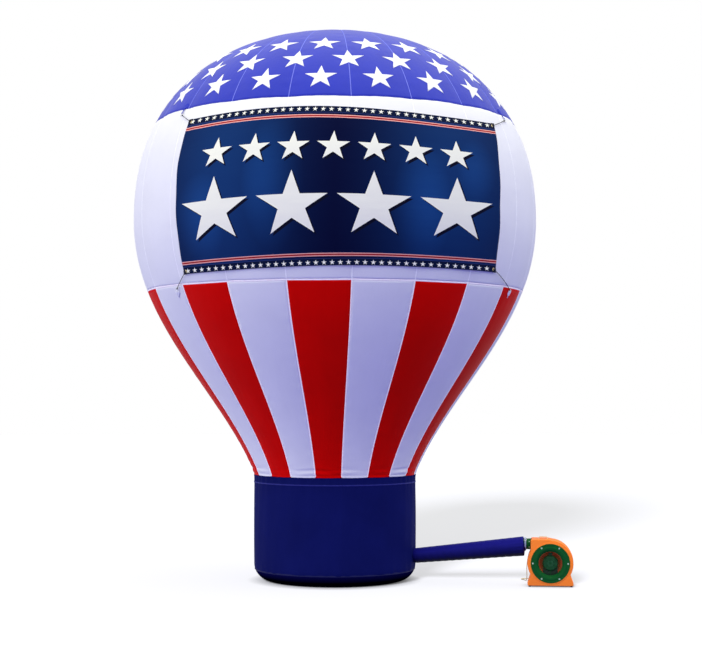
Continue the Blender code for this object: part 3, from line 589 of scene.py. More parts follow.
def around(place, count, radius=0.0, level=0.0, start=0.0):
    """Places evenly round a place's own Z, at a radius and level, from a start angle in degrees."""
    return [place @ Matrix.Rotation(radians(start + 360 * k / count), 4, "Z")
            @ Matrix.Translation((radius, 0, level)) for k in range(count)]


# The envelope's surface

def runs_along(points):
    """The distance from the first point to each one, measured along the row of points."""
    return np.concatenate([[0.0], np.cumsum(np.linalg.norm(np.diff(points, axis=0), axis=1))])


def outline_table():
    """Run along the cloth from the base's top to the crown, with radius and height at each step."""
    equator = Vector((EQUATOR_RADIUS, EQUATOR_HEIGHT))
    neck = Vector((BASE_RADIUS, BASE_HEIGHT))
    skirt = interpolate_bezier(equator, equator - Vector((0, EQUATOR_HANDLE)),
                               neck + NECK_HANDLE * Vector((NECK_SLOPE, 1)), neck, 400)
    points = [tuple(point[:2]) for point in reversed(skirt)]
    top = HEIGHT - EQUATOR_HEIGHT
    steps = 500
    for k in range(1, steps + 1):
        turn = pi / 2 * k / steps
        share = 2 / CROWN_EXPONENT
        points.append((EQUATOR_RADIUS * cos(turn) ** share if k < steps else 0.0,
                       EQUATOR_HEIGHT + top * sin(turn) ** share))
    points = np.array(points)
    return runs_along(points), points[:, 0], points[:, 1]


RUNS, RADII, LEVELS = outline_table()
CROWN_RUN = RUNS[-1]


def run_at(height):
    """Run along the cloth at a height."""
    return float(np.interp(height, LEVELS, RUNS))


STRIPE_SEAM_RUN = run_at(STRIPE_SEAM_HEIGHT)
DOME_SEAM_RUN = run_at(DOME_SEAM_HEIGHT)


def radius_at(run):
    return np.interp(run, RUNS, RADII)


def level_at(run):
    return np.interp(run, RUNS, LEVELS)


def on_ring(azimuth, radius, level):
    """Points at azimuths in degrees, from the front towards the right, at a radius and a level."""
    angle = np.radians(azimuth)
    return np.stack([radius * np.sin(angle), -radius * np.cos(angle), level], axis=-1)


def hump(away, width):
    """A smooth hump, 1 at its middle."""
    return np.exp(-(away / width) ** 2)


def fade(away, reach):
    """1 where it starts, fading out over the reach."""
    return np.exp(-away / reach)


def from_seams(azimuth, radius):
    """Number of the nearest gore seam and the distance to it, and the share across the gore."""
    turns = (azimuth - FIRST_SEAM) / GORE_ANGLE
    nearest = np.round(turns)
    distance = np.abs(turns - nearest) * radians(GORE_ANGLE) * radius
    return nearest, distance, np.mod(turns, 1.0)


def seam_puckers(run, nearest, distance):
    """Short gathers beside each sewn seam, in two pitches, which differ from seam to seam."""
    depth, reach, sewn_flat = 0.0022, 0.05, 0.018
    wave = np.sin(2 * pi * run / 0.14 + 2.1 * nearest) + 0.7 * np.sin(2 * pi * run / 0.21 + 4.3 * nearest)
    return depth * fade(distance, reach) * (1 - hump(distance, sewn_flat)) * wave


def hoop_creases(run, azimuth):
    """The pinch at the two seams that run round the envelope, with gathers along them."""
    depth = 0.0012
    gathers = np.sin(pi / 2 * azimuth + 3 * np.sin(azimuth / 17))
    relief = 0.0
    for seam in (STRIPE_SEAM_RUN, DOME_SEAM_RUN):
        away = np.abs(run - seam)
        relief = relief + depth * (fade(away, 0.06) * gathers - fade(away, 0.03))
    return relief


def neck_creases(run, azimuth):
    """Level folds above the drum base, where the cloth is drawn in, a sewn tuck, and the rolled hem."""
    angle = np.radians(azimuth)
    folds = np.sin(2 * pi * run / 0.075 + 1.5 * np.sin(5 * angle) + 1.1 * np.sin(11 * angle + 1.0))
    folds = 0.0028 * fade(run, 0.16) * folds * (1 - fade(run, 0.03))
    tuck = 0.003 * hump(run - 0.050, 0.020) - 0.003 * hump(run - 0.088, 0.016)
    hem = 0.005 * hump(run - 0.007, 0.008)
    return folds + hem + tuck


def from_tie_rings(azimuth, run, radius):
    """Distances across and up the cloth from each banner tie's ring."""
    return [(np.radians(azimuth - ring_azimuth) * radius, run - run_at(ring_height))
            for _, ring_azimuth, ring_height, _, _ in TIE_TABLE]


def tie_creases(run, azimuth, radius):
    """Creases that fan out from each banner tie's ring, and the dip at the ring."""
    relief = np.zeros_like(run + azimuth)
    for across, up in from_tie_rings(azimuth, run, radius):
        distance = np.hypot(across, up)
        fan = np.cos(7 * np.arctan2(across, up + 1e-9))
        relief += 0.004 * fade(distance, 0.14) * (1 - fade(distance, 0.03)) * fan
        relief -= 0.004 * fade(distance, 0.05)
    return relief


def side_folds(run, azimuth, radius):
    """Upright folds in the band beside the banner's two side edges."""
    on_band = np.exp(-((level_at(run) - 4.1) / 0.75) ** 4)
    relief = np.zeros_like(run + azimuth)
    for edge, outward in ((-47.0, -1), (51.5, 1)):
        away = outward * np.radians(azimuth - edge) * radius
        relief += 0.0022 * hump(away, 0.28) * np.sin(2 * pi * away / 0.11 + 0.6 * np.sin(5 * run))
    return relief * on_band


def held_out(azimuth, run, radius):
    """1 over most of the cloth, and 0 where a banner tie's ring holds it out."""
    share = np.ones_like(run + azimuth)
    for across, up in from_tie_rings(azimuth, run, radius):
        share *= 1 - hump(np.hypot(across, up), 0.07)
    return share


def cloth_relief(azimuth, run):
    """How far the inflated cloth stands out from the smooth outline. The crown is calm."""
    radius = radius_at(run)
    nearest, distance, across = from_seams(azimuth, radius)
    relief = -LOBE_SHARE * radius * (1 - 4 * across * (1 - across))
    relief = relief + seam_puckers(run, nearest, distance) + hoop_creases(run, azimuth)
    relief = relief + neck_creases(run, azimuth) + tie_creases(run, azimuth, radius)
    relief = (relief + side_folds(run, azimuth, radius)) * held_out(azimuth, run, radius)
    return relief * np.clip((CROWN_RUN - run) / 0.5, 0, 1)


def envelope_points(azimuth, run, lift=0.0, relief=True):
    """Points on the cloth, lifted off it along its normal."""
    azimuth, run = np.broadcast_arrays(np.asarray(azimuth, float), np.asarray(run, float))
    step = 0.002
    low, high = np.clip(run - step, 0, CROWN_RUN), np.clip(run + step, 0, CROWN_RUN)
    slope_r = radius_at(high) - radius_at(low)
    slope_z = level_at(high) - level_at(low)
    length = np.hypot(slope_r, slope_z)
    out = lift + (cloth_relief(azimuth, run) if relief else 0.0)
    radius = np.maximum(radius_at(run) + out * slope_z / length, 0.0)
    return on_ring(azimuth, radius, level_at(run) - out * slope_r / length)


def flat_place(azimuth, run):
    """UVs in metres: the run round the equator and the run up the cloth."""
    azimuth, run = np.broadcast_arrays(np.asarray(azimuth, float), np.asarray(run, float))
    return np.stack([np.radians(azimuth) * EQUATOR_RADIUS, run], axis=-1)


def row_runs(low, high, fine_low=False):
    """Even steps along the cloth, with closer ones at the hem and the tuck."""
    count = max(round((high - low) / ROW_STEP), 2)
    runs = list(np.linspace(low, high, count + 1))
    if fine_low:
        close = [low + step for step in (*HEM_STEPS, *np.arange(0.024, 0.126, 0.006))]
        runs = [runs[0], *close, *[run for run in runs if run > close[-1] + 0.005]]
    return np.array(runs)


def cloth_panel(name, azimuths, runs, material, replaced=(), closed=False, lift=0.0):
    """A piece of the envelope's cloth, over a grid of azimuths and runs."""
    across, up = np.meshgrid(azimuths, runs)
    mesh = grid_mesh(name, envelope_points(across, up, lift), flat_place(across, up), closed)
    thicken(add_piece(name, mesh, material, replaced), CLOTH)


def ring_azimuths():
    return FIRST_SEAM + np.arange(GORES * GORE_COLUMNS) * GORE_ANGLE / GORE_COLUMNS


def envelope():
    """The dome, the band and the 20 lower gores, with their seams, stars and crown patch."""
    blue = cloth_material("blue_nylon_cloth", BLUE_CLOTH, roughness=0.42, sheen=0.18)
    white = cloth_material("white_nylon_cloth", WHITE_CLOTH, spread=0.02)
    red = cloth_material("red_nylon_cloth", RED_CLOTH, roughness=0.50, gloss=0.02)
    cloth_panel("dome_shell", ring_azimuths(), row_runs(DOME_SEAM_RUN, CROWN_RUN - 0.01), blue,
                ["dome"], closed=True)
    cloth_panel("band_shell", ring_azimuths(), row_runs(STRIPE_SEAM_RUN, DOME_SEAM_RUN), white,
                ["mid_band"], closed=True)
    rows = row_runs(0.0, STRIPE_SEAM_RUN, fine_low=True)
    for number in range(GORES):
        start = FIRST_SEAM + number * GORE_ANGLE
        columns = np.linspace(start, start + GORE_ANGLE, GORE_COLUMNS + 1)
        colour, material = ("white", white) if number % 2 == 0 else ("red", red)
        cloth_panel(f"skirt_gore_{number + 1:02d}", columns, rows, material,
                    [f"stripe_{number + 1:02d}_{colour}"])
    seam_tapes(blue)
    dome_stars()
    crown_patch(blue)


# Seam tapes: places across in shares of the width, and lifts that arch over the seam

TAPE_SIDES = np.array((-0.50, -0.40, 0.0, 0.40, 0.50))
TAPE_LIFTS = np.array((-0.0004, 0.0016, 0.0024, 0.0016, -0.0004))


def upright_tape(seam, runs, width):
    """A tape along one gore seam."""
    up, across = np.meshgrid(runs, TAPE_SIDES * width, indexing="ij")
    azimuths = FIRST_SEAM + seam * GORE_ANGLE + np.degrees(across / np.maximum(radius_at(up), 0.05))
    points = envelope_points(azimuths, up, TAPE_LIFTS[None, :])
    return grid_mesh("tape", points, np.stack([across, up], axis=-1))


def level_tape(run, width):
    """A tape round the envelope at one run."""
    up, across = np.meshgrid(run + TAPE_SIDES * width, ring_azimuths(), indexing="ij")
    points = envelope_points(across, up, TAPE_LIFTS[:, None])
    return grid_mesh("tape", points, flat_place(across, up), closed=True)


def seam_tapes(blue):
    # The white and pink seam tapes get a painted glow, so they show lighter than the lit cloth
    pale = webbing_material("seam_tape_white", SEAM_WHITE, 0.09)
    pink = webbing_material("seam_tape_pink", SEAM_PINK, 0.18)
    # Painted sheen: the dome's seam tapes are a lighter blue than the blue cloth
    bright = webbing_material("seam_tape_blue", SEAM_BLUE_PAINTED_SHEEN)
    spans = (("dome_seams", DOME_SEAM_RUN, CROWN_RUN - CROWN_PATCH_RADIUS, 0.009, bright, "blue_nylon"),
             ("band_seams", STRIPE_SEAM_RUN, DOME_SEAM_RUN, 0.009, pale, "white_nylon"),
             ("skirt_seams", 0.0, STRIPE_SEAM_RUN, 0.013, pink, "white_nylon"))
    for name, low, high, width, material, slot in spans:
        runs = np.linspace(low, high, round(2 * (high - low) / ROW_STEP) + 1)
        if name == "skirt_seams":
            runs = row_runs(low, high, fine_low=True)[4:]
        mesh = join_meshes(name, [upright_tape(seam, runs, width) for seam in range(GORES)])
        add_piece(name, mesh, material)
    add_piece("stripe_hoop_tape", level_tape(STRIPE_SEAM_RUN, 0.014), pink)
    add_piece("dome_hoop_tape", level_tape(DOME_SEAM_RUN + 0.004, 0.010), blue)


# Sewn patches and stars

def star_outline(radius, steps):
    """A five-pointed star's outline, each side in a few steps, anticlockwise from its top tip."""
    corners = []
    for k in range(10):
        reach = radius if k % 2 == 0 else radius * STAR_VALLEY
        turn = pi / 2 + k * pi / 5
        corners.append(Vector((reach * cos(turn), reach * sin(turn))))
    outline = []
    for start, end in zip(corners, corners[1:] + corners[:1]):
        outline += [start.lerp(end, k / steps) for k in range(steps)]
    return outline


def patch_mesh(outline, azimuth, run, rings):
    """A flat outline laid on the cloth around one point, in rings from its middle."""
    flat = [Vector((0, 0))] + [k / rings * point for k in range(1, rings + 1) for point in outline]
    across = np.array([point.x for point in flat])
    up = np.array([point.y for point in flat])
    azimuths = azimuth + np.degrees(across / np.maximum(radius_at(run + up), 0.05))
    points = envelope_points(azimuths, run + up, PATCH_LIFT)
    count = len(outline)
    faces = [(0, 1 + j, 1 + (j + 1) % count) for j in range(count)]
    for inner in range(1, 1 + (rings - 1) * count, count):
        faces += [(inner + j, inner + count + j, inner + count + (j + 1) % count, inner + (j + 1) % count)
                  for j in range(count)]
    mesh = bpy.data.meshes.new("patch")
    mesh.from_pydata(points.tolist(), [], faces)
    corners = [value for face in faces for index in face for value in (across[index], up[index])]
    mesh.uv_layers.new(name="flat").data.foreach_set("uv", corners)
    return mesh


def dome_stars():
    """Three rows of white stars, one to each gore, the middle row on the seams."""
    cloth = cloth_material("star_cloth", WHITE_CLOTH, roughness=0.5, sheen=0.1, crease=0.001, spread=0.02)
    outline = star_outline(STAR_RADIUS, 4)
    meshes = [patch_mesh(outline, FIRST_SEAM + (gore + turn) * GORE_ANGLE, run_at(height), 6)
              for height, turn in STAR_ROWS for gore in range(GORES)]
    piece = add_piece("dome_stars", join_meshes("dome_stars", meshes), cloth)
    thicken(piece, 0.0025)


def crown_patch(blue):
    """The round patch where all gores meet."""
    runs = CROWN_RUN - np.array([CROWN_PATCH_RADIUS, 0.165, 0.13, 0.09, 0.05, 0.02, 0.004])
    cloth_panel("crown_patch", ring_azimuths()[::6], runs, blue, closed=True, lift=PATCH_LIFT)


# The drum base

def turned_cloth(name, profile, columns, material, relief=None, replaced=()):
    """A turned surface of (radius, height) points given from the bottom up, with UVs in metres."""
    azimuths = FIRST_SEAM + np.arange(columns) * 360 / columns
    radii, heights = np.array(profile).T
    across, up = np.meshgrid(azimuths, runs_along(profile))
    level = np.repeat(heights[:, None], columns, 1)
    radius = radii[:, None] + (relief(across, level) if relief else np.zeros_like(across))
    flat = np.stack([np.radians(across) * BASE_RADIUS, up], axis=-1)
    mesh = grid_mesh(name, on_ring(across, radius, level), flat, closed=True)
    return add_piece(name, mesh, material, replaced)


def drum_relief(azimuth, height):
    """Soft swell and creases of the drum's wall, and the welts of its two seams."""
    angle = np.radians(azimuth)
    swell = 0.004 * np.sin(pi * np.clip((height - 0.13) / 0.95, 0, 1))
    upright = 0.0016 * np.sin(13 * angle + 2.0 * height) + 0.0012 * np.sin(29 * angle - 3.1 * height)
    near_floor = 0.003 * fade(height - 0.10, 0.12) * np.sin(37 * angle + 2 * np.sin(7 * angle))
    near_top = 0.002 * fade(1.10 - height, 0.10) * np.sin(53 * angle + 2 * np.sin(5 * angle))
    welts = sum(0.0035 * hump(height - level, 0.006) for level in (BASE_HEM_HEIGHT, TOP_WELT_HEIGHT))
    return swell + (upright + near_floor + near_top) * (height > 0.12) + welts


def base():
    """The drum's wall with its hem, and the dark boot below it."""
    navy = cloth_material("navy_nylon_cloth", NAVY_CLOTH, roughness=0.60, spread=0.10, gloss=0.01)
    # Painted shade: the boot's colour darkens where its rounded corner turns down to the floor
    dark = painted_shade_cloth_material("boot_cloth_dark", BOOT_CLOTH, 0.8, 0.0, (-0.72, -0.28), 0.02)
    hem_tape = webbing_material("hem_tape_navy", (0.018, 0.022, 0.190))
    boot_tape = webbing_material("seam_tape_navy", (0.006, 0.008, 0.070))
    hem = [(BASE_RADIUS + lift, BASE_HEM_HEIGHT + rise) for lift, rise in
           ((-0.001, -0.008), (0.0013, -0.005), (0.0018, 0.0), (0.0013, 0.005), (-0.001, 0.008))]
    turned_cloth("base_hem_tape", hem, 360, hem_tape, drum_relief)
    centre = (BASE_RADIUS - BASE_CORNER_RADIUS, BASE_CORNER_RADIUS)
    boot = arc(centre, BASE_CORNER_RADIUS, -90, BOOT_SEAM_ANGLE, 13)
    flare = arc(centre, BASE_CORNER_RADIUS, BOOT_SEAM_ANGLE, 0, 5)
    near_hem = [BASE_HEM_HEIGHT + step for step in (-0.018, -0.012, -0.008, -0.004, 0.0, 0.004, 0.008, 0.012)]
    heights = [*np.linspace(0.22, 1.05, 30), *near_hem, 1.125, 1.145, 1.156, 1.160, 1.164, TOP_WELT_HEIGHT,
               1.172, BASE_HEIGHT]
    wall = flare + [(BASE_RADIUS, height) for height in heights]
    thicken(turned_cloth("base_cloth", wall, 360, navy, drum_relief, ["base_wall"]), CLOTH)
    thicken(turned_cloth("boot_cloth", boot, 180, dark, replaced=["base_boot"]), CLOTH)
    seam_radius, seam_height = boot[-1]
    rim = [(seam_radius + lift - 0.25 * min(rise, 0), seam_height + rise) for lift, rise in
           ((-0.002, -0.009), (0.002, -0.006), (0.003, 0.0), (0.002, 0.006), (-0.001, 0.009))]
    turned_cloth("boot_seam_tape", rim, 180, boot_tape)


# The banner

def banner_edges(across, up):
    """Azimuth and run of a point of the banner, by its shares across and up."""
    left = BANNER_LEFT - 0.4 * np.sin(pi * up ** 2) + 0.75 * up ** 8
    right = BANNER_RIGHT + 2.9 * ((up - 0.38) / 0.62) ** 2
    low = BANNER_LOW + 0.033 * across - 0.010 * np.cos(2 * pi * across)
    high = BANNER_HIGH + 0.040 * np.sin(pi * across / 0.7) * (1 - across ** 6)
    height = low + (high - low) * up
    run = np.interp(height, LEVELS, RUNS)
    radius = radius_at(run)
    low_x, high_x = radius * np.sin(np.radians(left)), radius * np.sin(np.radians(right))
    x = low_x + (high_x - low_x) * across
    return np.degrees(np.arcsin(x / radius)), run


def banner_relief(across, up):
    """Slack in the vinyl: ripples at the side edges, drag folds at the corners, a curl at the hem."""
    relief = np.zeros_like(across)
    wide, high = 3.7, 1.63
    for edge in (0.0, 1.0):
        away = np.abs(across - edge)
        relief += 0.003 * fade(away, 0.05) * (1 + np.sin(2 * pi * up * 3.3 + edge * 2.0))
        for level in (0.0, 1.0):
            distance = np.hypot(away * wide, (up - level) * high)
            angle = np.arctan2(away * wide, np.abs(up - level) * high + 1e-9)
            relief += 0.006 * fade(distance, 0.22) * (1 + np.cos(9 * angle)) / 2
    return relief + 0.010 * fade(up, 0.02) + 0.002 * fade(1 - up, 0.02)


def banner_mesh(name, across, up, uvs=None, lift=BANNER_LIFT):
    """A mesh over shares across and up the banner, on the banner's slack surface."""
    azimuth, run = banner_edges(across, up)
    lift = lift + banner_relief(np.clip(across, 0, 1), np.clip(up, 0, 1))
    points = envelope_points(azimuth, run, lift, relief=False)
    return grid_mesh(name, points, flat_place(azimuth, run) if uvs is None else uvs)


def banner():
    """The printed sheet. Its print is a little stretched towards its middle."""
    columns, rows = 180, 84
    edge = np.array([0.0, 0.004, 0.010])
    up_steps = np.concatenate([edge, np.linspace(0.02, 0.98, rows), 1 - edge[::-1]])
    across, up = np.meshgrid(np.linspace(0, 1, columns), up_steps)
    stretched = across + 0.073 * across * (1 - across)
    mesh = banner_mesh("banner_sheet", across, up,
                       np.stack([stretched * PRINT_WIDTH, up * PRINT_HEIGHT], axis=-1))
    piece = add_piece("banner_sheet", mesh, banner_material(), replaced=["banner"])
    thicken(piece, 0.0018)


def banner_corners():
    """Black reinforcing tabs folded over the banner's four corners."""
    black = plastic_material("corner_black", (0.010, 0.010, 0.012), 0.5)
    size, over_side, over_hem = 0.036, 0.0010, 0.0025
    steps = np.linspace(0, 1, 9)
    meshes = []
    for side, *_ in TIE_TABLE:
        across = (size / BANNER_FLAT[0] + over_side) * steps - over_side
        up = (size / BANNER_FLAT[1] + over_hem) * steps - over_hem
        if "right" in side:
            across = 1 - across[::-1]
        if "top" in side:
            up = 1 - up[::-1]
        meshes.append(banner_mesh("corner", *np.meshgrid(across, up), lift=BANNER_LIFT + 0.0006))
    piece = add_piece("banner_corner_tabs", join_meshes("banner_corner_tabs", meshes), black)
    thicken(piece, 0.0030)


# Banner ties

def cloth_frame(azimuth, run, lift=0.0):
    """A place on the smooth envelope: X across, Y up the cloth and Z straight out of it."""
    middle, above, beside = (Vector(envelope_points(azimuth + turn, run + rise, lift, relief=False))
                             for turn, rise in ((0, 0), (0, 0.001), (0.03, 0)))
    up = (above - middle).normalized()
    out = (beside - middle).cross(up).normalized()
    return Matrix.Translation(middle) @ Matrix((up.cross(out), up, out)).transposed().to_4x4()


def eyelet_place(side):
    """Azimuth, run and lift of the banner's outer face at a corner's eyelet."""
    across, up = EYELET_INSET / BANNER_FLAT[0], EYELET_INSET / BANNER_FLAT[1]
    across = np.array([across if "left" in side else 1 - across])
    up = np.array([up if "bottom" in side else 1 - up])
    azimuth, run = banner_edges(across, up)
    return float(azimuth[0]), float(run[0]), float(BANNER_LIFT + banner_relief(across, up)[0])


def rope_route(side, ring_azimuth, ring_height):
    """From the ring's wire along the cloth and into the eyelet."""
    azimuth, run, lift = eyelet_place(side)
    ring_run = run_at(ring_height)
    across = radians(azimuth - ring_azimuth) * float(radius_at(ring_run))
    start = RING_RADIUS / hypot(across, run - ring_run)
    clearance = 0.0085
    route = []
    steps = 24
    for k in range(steps + 1):
        share = start + (1 - start) * k / steps
        height = max(clearance, lift * share + 0.004) if k < steps else lift - 0.002
        route.append(Vector(envelope_points(ring_azimuth + (azimuth - ring_azimuth) * share,
                                            ring_run + (run - ring_run) * share, height, relief=False)))
    return route


def rope_shapes(route):
    """Three twisted strands along a route, with a wound knot near each end."""
    step, lay = 0.003, 0.022
    points = np.array(route)
    lengths = runs_along(points)
    count = round(lengths[-1] / step)
    fine = [Vector([np.interp(lengths[-1] * k / count, lengths, points[:, axis]) for axis in range(3)])
            for k in range(count + 1)]
    shapes = []
    for strand in range(3):
        line = []
        for k, place in enumerate(fine):
            along = (fine[min(k + 1, count)] - fine[max(k - 1, 0)]).normalized()
            across = along.cross(Vector((0, 0, 1))).normalized()
            turn = 2 * pi * (strand / 3 + k * step / lay)
            offset = cos(turn) * across + sin(turn) * along.cross(across)
            line.append(place + offset * ROPE_RADIUS * 0.5)
        shapes.append((tube_shape(line, STRAND_RADIUS, 6), Matrix.Identity(4)))
    for start, onward in ((4, 1), (count - 5, -1)):
        for wrap in range(4):
            place = fine[start + onward * wrap]
            along = fine[start + onward * (wrap + 1)] - place
            turn = along.to_track_quat("Z", "Y").to_matrix().to_4x4()
            tilt = Matrix.Rotation(radians(8 if wrap % 2 else -8), 4, "X")
            shapes.append((hoop_shape(ROPE_RADIUS * 1.35, STRAND_RADIUS, 20, 6),
                           Matrix.Translation(place) @ turn @ tilt))
    return shapes


# A webbing tab's section round the ring's wire, from its sewn end: way past the wire, and lift
TAB_SECTION = ((0.058, 0.0006), (0.030, 0.0008), (0.020, 0.0018), (0.008, 0.0052), (0.0, 0.0072),
               (-0.0045, 0.0058), (-0.0058, 0.0030), (-0.0040, 0.0006))
TAB_SIDES = (-0.009, -0.0045, 0.0, 0.0045, 0.009)
# An eyelet's grommet: its section as radius and height over the cloth
GROMMET = ((0.0080, -0.001), (0.0078, 0.0010), (0.0090, 0.0018), (0.0120, 0.0016), (0.0138, 0.0004),
           (0.0138, -0.001))


def tab_mesh(place, direction):
    """A webbing loop round the ring's wire, sewn down on the side that the direction names."""
    points = np.array([[place @ Vector((side, direction * (RING_RADIUS + along), lift)) for side in TAB_SIDES]
                       for along, lift in TAB_SECTION])
    flat = np.array([[(side, along) for side in TAB_SIDES] for along, _ in TAB_SECTION])
    return grid_mesh("tab", points, flat)


def banner_ties():
    """The four ties: ring, rope, webbing tab and patch, with the eyelets they run into."""
    line = webbing_material("line_black", (0.030, 0.030, 0.032))
    steel = metal_material("ring_steel", (0.62, 0.62, 0.64))
    brass = metal_material("grommet_metal", (0.72, 0.60, 0.34))
    tabs = {"blue_nylon": [], "white_nylon": []}
    patches = {"blue_nylon": [], "white_nylon": []}
    disc = [Vector(point) for point in circle(PATCH_RADIUS, 48)]
    eyelets = []
    for side, azimuth, height, colour, patch_height in TIE_TABLE:
        place = cloth_frame(azimuth, run_at(height), RING_WIRE + 0.0005)
        solid_piece(f"ring_{side}", [(hoop_shape(RING_RADIUS, RING_WIRE, 40), place)], steel,
                    [f"tie_ring_{side}"])
        solid_piece(f"tie_rope_{side}", rope_shapes(rope_route(side, azimuth, height)), line,
                    [f"banner_tie_{side}"], angle=60)
        tabs[colour].append(tab_mesh(cloth_frame(azimuth, run_at(height)), 1 if "top" in side else -1))
        patches[colour].append(patch_mesh(disc, azimuth, run_at(patch_height), 5))
        eyelets.append((turned_shape(GROMMET, 36), cloth_frame(*eyelet_place(side))))
    solid_piece("banner_grommets", eyelets, brass)
    for colour, paint in (("blue_nylon", BLUE_CLOTH), ("white_nylon", SEAM_WHITE)):
        cloth = cloth_material(f"patch_{colour}", paint, crease=0.001)
        for name, meshes, thickness in (("patches", patches, 0.0020), ("tabs", tabs, 0.0014)):
            piece = add_piece(f"tie_{name}_{colour}", join_meshes(name, meshes[colour]), cloth)
            thicken(piece, thickness)


# The air sleeve

def sleeve_route():
    """Centres, radii and directions along the sleeve, from inside the base's wall to its cuff."""
    azimuth = radians(SLEEVE_AZIMUTH)
    outward = Vector((sin(azimuth), -cos(azimuth), 0))
    wall = outward * BASE_RADIUS + Vector((0, 0, SLEEVE_HEIGHT - 1.4 * SLEEVE_SAG))
    collar = blower_matrix() @ Vector((DUCT_FACE - COLLAR_SHOWS, 0, OUTLET_HEIGHT))
    inward = blower_matrix().to_3x3() @ Vector((-1, 0, 0))
    full_end = collar + inward * SLEEVE_FACE + Vector((0, 0, -0.010 - SLEEVE_SAG))
    length = (full_end - wall).length
    along = (full_end - wall) / length
    # Run and radius of the long cone, and of the end that is drawn in to the cuff
    cone = ((-0.012, 0.0690), (0.004, 0.0745), (0.016, SLEEVE_BASE_RADIUS), (0.04, 0.0815),
            (length - 0.06, SLEEVE_END_RADIUS - 0.001), (length - 0.010, SLEEVE_END_RADIUS))
    face = ((0.0, SLEEVE_END_RADIUS - 0.0005), (0.002, SLEEVE_END_RADIUS - 0.003), (0.004, 0.0930),
            (0.006, 0.0800), (0.008, 0.0680), (0.0095, SLEEVE_CUFF_RADIUS), (SLEEVE_FACE, SLEEVE_CUFF_RADIUS))
    places, radii, directions = [], [], []
    for run in np.arange(-0.012, length - 0.004, 0.008):
        places.append(wall + along * run)
        radii.append(np.interp(run, *zip(*cone)))
        directions.append(along.lerp(-inward, max(0, run / length - 0.5)))
    for run in np.arange(0.0, SLEEVE_FACE, 0.0015):
        places.append(full_end.lerp(collar, run / SLEEVE_FACE))
        radii.append(np.interp(run, *zip(*face)))
        directions.append(along.lerp(-inward, 0.5 + run / SLEEVE_FACE / 2))
    return np.array(places), np.array(radii), np.array(directions)


def sleeve_relief(along, length, turn):
    """Gathers at the strap, soft pull wrinkles, and the sewn seam along the sleeve's top."""
    to_end = length - along
    on_cone = to_end > 0.05
    gathers = 0.0035 * np.cos(17 * turn + 1.5 * np.sin(3 * turn)) * hump(to_end - SLEEVE_FACE + 0.004, 0.007)
    pulls = 0.0012 * np.sin(17 * turn) * fade(np.maximum(to_end - 0.05, 0), 0.08) * on_cone
    wrinkles = 0.0013 * np.sin(2 * pi * along / 0.083 + 2.0 * np.sin(2 * turn + 1) + 3 * along)
    wrinkles *= np.clip(along / 0.1, 0, 1) * np.clip((to_end - 0.05) / 0.1, 0, 1)
    wrinkles *= 0.6 + 0.4 * np.cos(turn - 4)
    sewn = 0.0008 * np.cos(26 * turn) * fade(along, 0.05)
    from_seam = np.abs(np.mod(turn - 1.9 + pi, 2 * pi) - pi) * 0.09
    seam = 0.0022 * hump(from_seam, 0.0035) - 0.0012 * hump(from_seam, 0.012)
    return gathers + pulls + wrinkles + sewn + seam * on_cone


def sleeve():
    """The air duct from the drum base to the blower."""
    # Painted shade: the sleeve's colour darkens on its underside, towards the floor
    cloth = painted_shade_cloth_material("sleeve_nylon", SLEEVE_CLOTH, 0.5, 0.05, (-0.75, 0.45), 0.10)
    centres, radii, directions = sleeve_route()
    directions /= np.linalg.norm(directions, axis=1)[:, None]
    across = np.cross(directions, (0.0, 0.0, 1.0))
    across /= np.linalg.norm(across, axis=1)[:, None]
    upward = np.cross(across, directions)
    runs = runs_along(centres)
    turns = 2 * pi * np.arange(SLEEVE_COLUMNS) / SLEEVE_COLUMNS
    turn, along = np.meshgrid(turns, runs)
    radius = radii[:, None] + sleeve_relief(along, runs[-1], turn)
    points = (centres[:, None] + radius[..., None] * (np.cos(turn)[..., None] * across[:, None]
                                                      + np.sin(turn)[..., None] * upward[:, None]))
    mesh = grid_mesh("sleeve_duct", points, np.stack([turn * SLEEVE_END_RADIUS, along], axis=-1), closed=True)
    piece = add_piece("sleeve_duct", mesh, cloth, replaced=["inflation_sleeve"])
    thicken(piece, -CLOTH)


